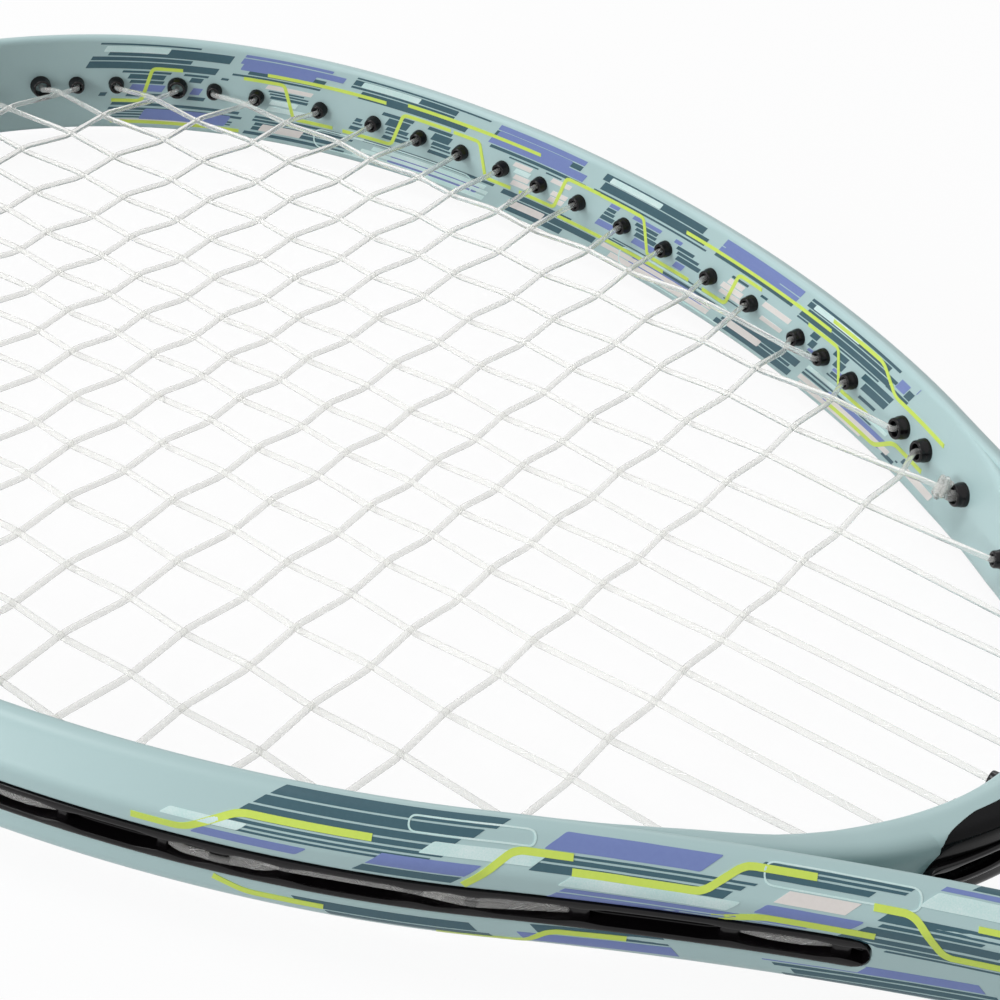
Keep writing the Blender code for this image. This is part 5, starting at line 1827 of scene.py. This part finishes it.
def gripPlace(turn, share, out):
    # turn counts windings from the cap; share runs across the band
    y = grip["start"] + grip["pitch"] * (turn - 1 + share * grip["stretch"])
    return onHandle(turn, clamp(y, grip["start"], grip["end"]), out)


def makeGrip():
    windings = (grip["end"] - grip["start"]) / grip["pitch"] + 1
    steps = int(windings * grip["perTurn"])
    rows = [[gripPlace(windings * i / steps, share, out * mm) for share, out in grip["profile"]]
            for i in range(steps + 1)]
    thing = finished(loft("gripWrap", rows), 40, "grip_leather", "grip_wrap", paints=("gripLeather",))
    first, last = grip["start"] + grip["dotMargin"], grip["end"] - tape["length"] - grip["dotMargin"]
    places = []
    rng = random.Random(grip["seed"])
    for i in range(int(windings * octagonLength / grip["dotStep"])):
        for k, share in enumerate(grip["dotShares"]):
            turn = (i + (0.5 if k % 2 else 0.0)) * grip["dotStep"] / octagonLength
            spot = gripPlace(turn, share, grip["out"] - grip["dotSink"])
            if first < spot.y < last and rng.random() > grip["dotMissing"]:
                normal = octagonAt(turn)[1]
                places.append((spot, (normal.x, 0, normal.y)))
    # each perforation is a dark disc laid on the grip's surface: the holes are real, their darkness is
    # painted shade
    dot = turned("dotItem", inMm(grip["dotProfile"]), 8)
    dress(scatter("gripPerforations", places, dot, materials["holeDark"]), "grip_leather")
    print("grip done:", len(places), "perforations")


def tapeOut(share, out):
    # the tape's outer side stands higher where its end laps over its start
    if out <= tape["inner"]:
        return out
    first, rise = tape["lapFrom"]
    last, fall = tape["lapTo"]
    return out + tape["lap"] * clamp((share - first) / rise) * clamp((last - share) / fall)


def makeBand(name, count, profile, reach):
    # closed band round the handle through pairs of place and height
    rows = [[onHandle(i / count, y, reach(i / count, out)) for y, out in profile] for i in range(count)]
    return loft(name, rows + rows[:1], closed=True)


def makeTapeAndCollar():
    start, end, outer, edge = grip["end"] - tape["length"], grip["end"], tape["outer"], tape["edge"]
    profile = [(start, tape["inner"]), (start, outer - edge), (start + edge, outer), (end - edge, outer),
               (end, outer - edge), (end, tape["inner"])]
    thing = makeBand("finishingTape", 2 * handle["around"], profile, tapeOut)
    finished(thing, 35, "tape_vinyl", "finishing_tape", paints=("tapeVinyl",))
    profile = [(collar["start"] + y * mm, out * mm) for y, out in collar["profile"]]
    thing = makeBand("gripCollar", handle["around"], profile, lambda share, out: out)
    finished(thing, 35, "collar_rubber", "grip_collar", paints=("collarRubber",))


makeCap()
makeStaples()
makeGrip()
makeTapeAndCollar()
for name in ("handle_half_top", "handle_half_bottom"):
    nodes[name].data.materials.clear()
    nodes[name].data.materials.append(materials["handleFoam"])
print("handle done")


# Stage: pale floor, soft studio light and the camera

stage = {
    "floorDrop": 0.2 * mm,
    "floorHalf": 6,
    "floorSeen": (0.98, 0.98, 1.0, 1),
    "floorElse": (0.5, 0.5, 0.51, 1),  # what the floor gives back to the object
    "floorGlow": 0.92,
    "skyFacing": (-0.6, 0.8, 0.0),  # the sky is brightest this way
    "skyBright": 0.76,
    "skyDim": 0.09,
    "cameraPlace": (-0.284264, 0.295226, 0.23604),
    "cameraRight": (0.57882, -0.80858, 0.10564),
    "cameraUp": (0.41993, 0.40662, 0.81137),
    "cameraForward": (0.69902, 0.42528, -0.57491),
    "lens": 76.91,
    "lampTarget": (0, 0.5, 0),
}
lamps = [
    {"name": "keyLamp", "place": (-0.35, 1.1, 1.15), "size": 0.5, "power": 5.8},
    {"name": "sideLamp", "place": (-1.1, 0.95, 0.38), "size": 0.4, "power": 5.5},
    {"name": "rimLamp", "place": (0.9, 1.0, 0.8), "size": 0.3, "power": 1.5},
]


def rayShare(tree):
    # 1 for camera, glossy and transmission rays, else 0
    path = addNode(tree, "ShaderNodeLightPath").outputs
    seen = calc(tree, "MAXIMUM", path["Is Camera Ray"], path["Is Glossy Ray"])
    return calc(tree, "MAXIMUM", seen, path["Is Transmission Ray"])


def makeFloor():
    low, half = cadBox[0].z - stage["floorDrop"], stage["floorHalf"]
    corners = [(x * half, y * half, low) for x, y in ((-1, -1), (1, -1), (1, 1), (-1, 1))]
    floor = placeMesh("floor", corners, [(0, 1, 2, 3)])
    material = bpy.data.materials.new("floorWhite")
    material.use_nodes = True
    tree = material.node_tree
    shader = tree.nodes["Principled BSDF"]
    seen = mixedColour(tree, rayShare(tree), stage["floorElse"], stage["floorSeen"])
    tree.links.new(seen, shader.inputs["Base Color"])
    shader.inputs["Roughness"].default_value = 0.9
    shader.inputs["Specular IOR Level"].default_value = 0.0
    glow = addNode(tree, "ShaderNodeEmission", {"Color": (1, 1, 1, 1), "Strength": 1.0}).outputs[0]
    share = calc(tree, "MULTIPLY", rayShare(tree), stage["floorGlow"])
    both = addNode(tree, "ShaderNodeMixShader", {0: share, 1: shader.outputs[0], 2: glow}).outputs[0]
    tree.links.new(both, tree.nodes["Material Output"].inputs["Surface"])
    floor.data.materials.append(material)


def makeSky():
    world = bpy.data.worlds.new("studio")
    world.use_nodes = True
    tree = world.node_tree
    sky = tree.nodes["Background"]
    sky.inputs["Color"].default_value = (1.0, 1.0, 1.0, 1)
    direction = addNode(tree, "ShaderNodeTexCoord").outputs["Generated"]
    facing = addNode(tree, "ShaderNodeVectorMath", {0: direction, 1: stage["skyFacing"]},
                     operation="DOT_PRODUCT").outputs["Value"]
    level = mapRange(tree, facing, -0.6, 0.7, stage["skyDim"], stage["skyBright"])
    strength = mapRange(tree, rayShare(tree), 0.0, 1.0, level, 1.0)
    tree.links.new(strength, sky.inputs["Strength"])
    bpy.context.scene.world = world


def makeLamps():
    for values in lamps:
        data = bpy.data.lights.new(values["name"], "AREA")
        data.size = values["size"]
        data.energy = values["power"]
        lamp = addObject(values["name"], data)
        lamp.location = values["place"]
        aim = Vector(stage["lampTarget"]) - lamp.location
        lamp.rotation_euler = aim.to_track_quat("-Z", "Y").to_euler()


def makeCamera():
    data = bpy.data.cameras.new("photoCamera")
    data.lens = stage["lens"]
    data.sensor_width = 36
    data.clip_start = 0.01
    camera = addObject("photoCamera", data)
    right, up, forward = (Vector(stage[key]) for key in ("cameraRight", "cameraUp", "cameraForward"))
    matrix = Matrix((right, up, -forward)).transposed().to_4x4()
    matrix.translation = stage["cameraPlace"]
    camera.matrix_world = matrix
    bpy.context.scene.camera = camera
    bpy.context.scene.view_settings.view_transform = "Standard"


makeFloor()
makeSky()
makeLamps()
makeCamera()
bpy.data.objects.remove(rimCurve, do_unlink=True)
bpy.data.objects.remove(bridgeCurve, do_unlink=True)
print("stage done")
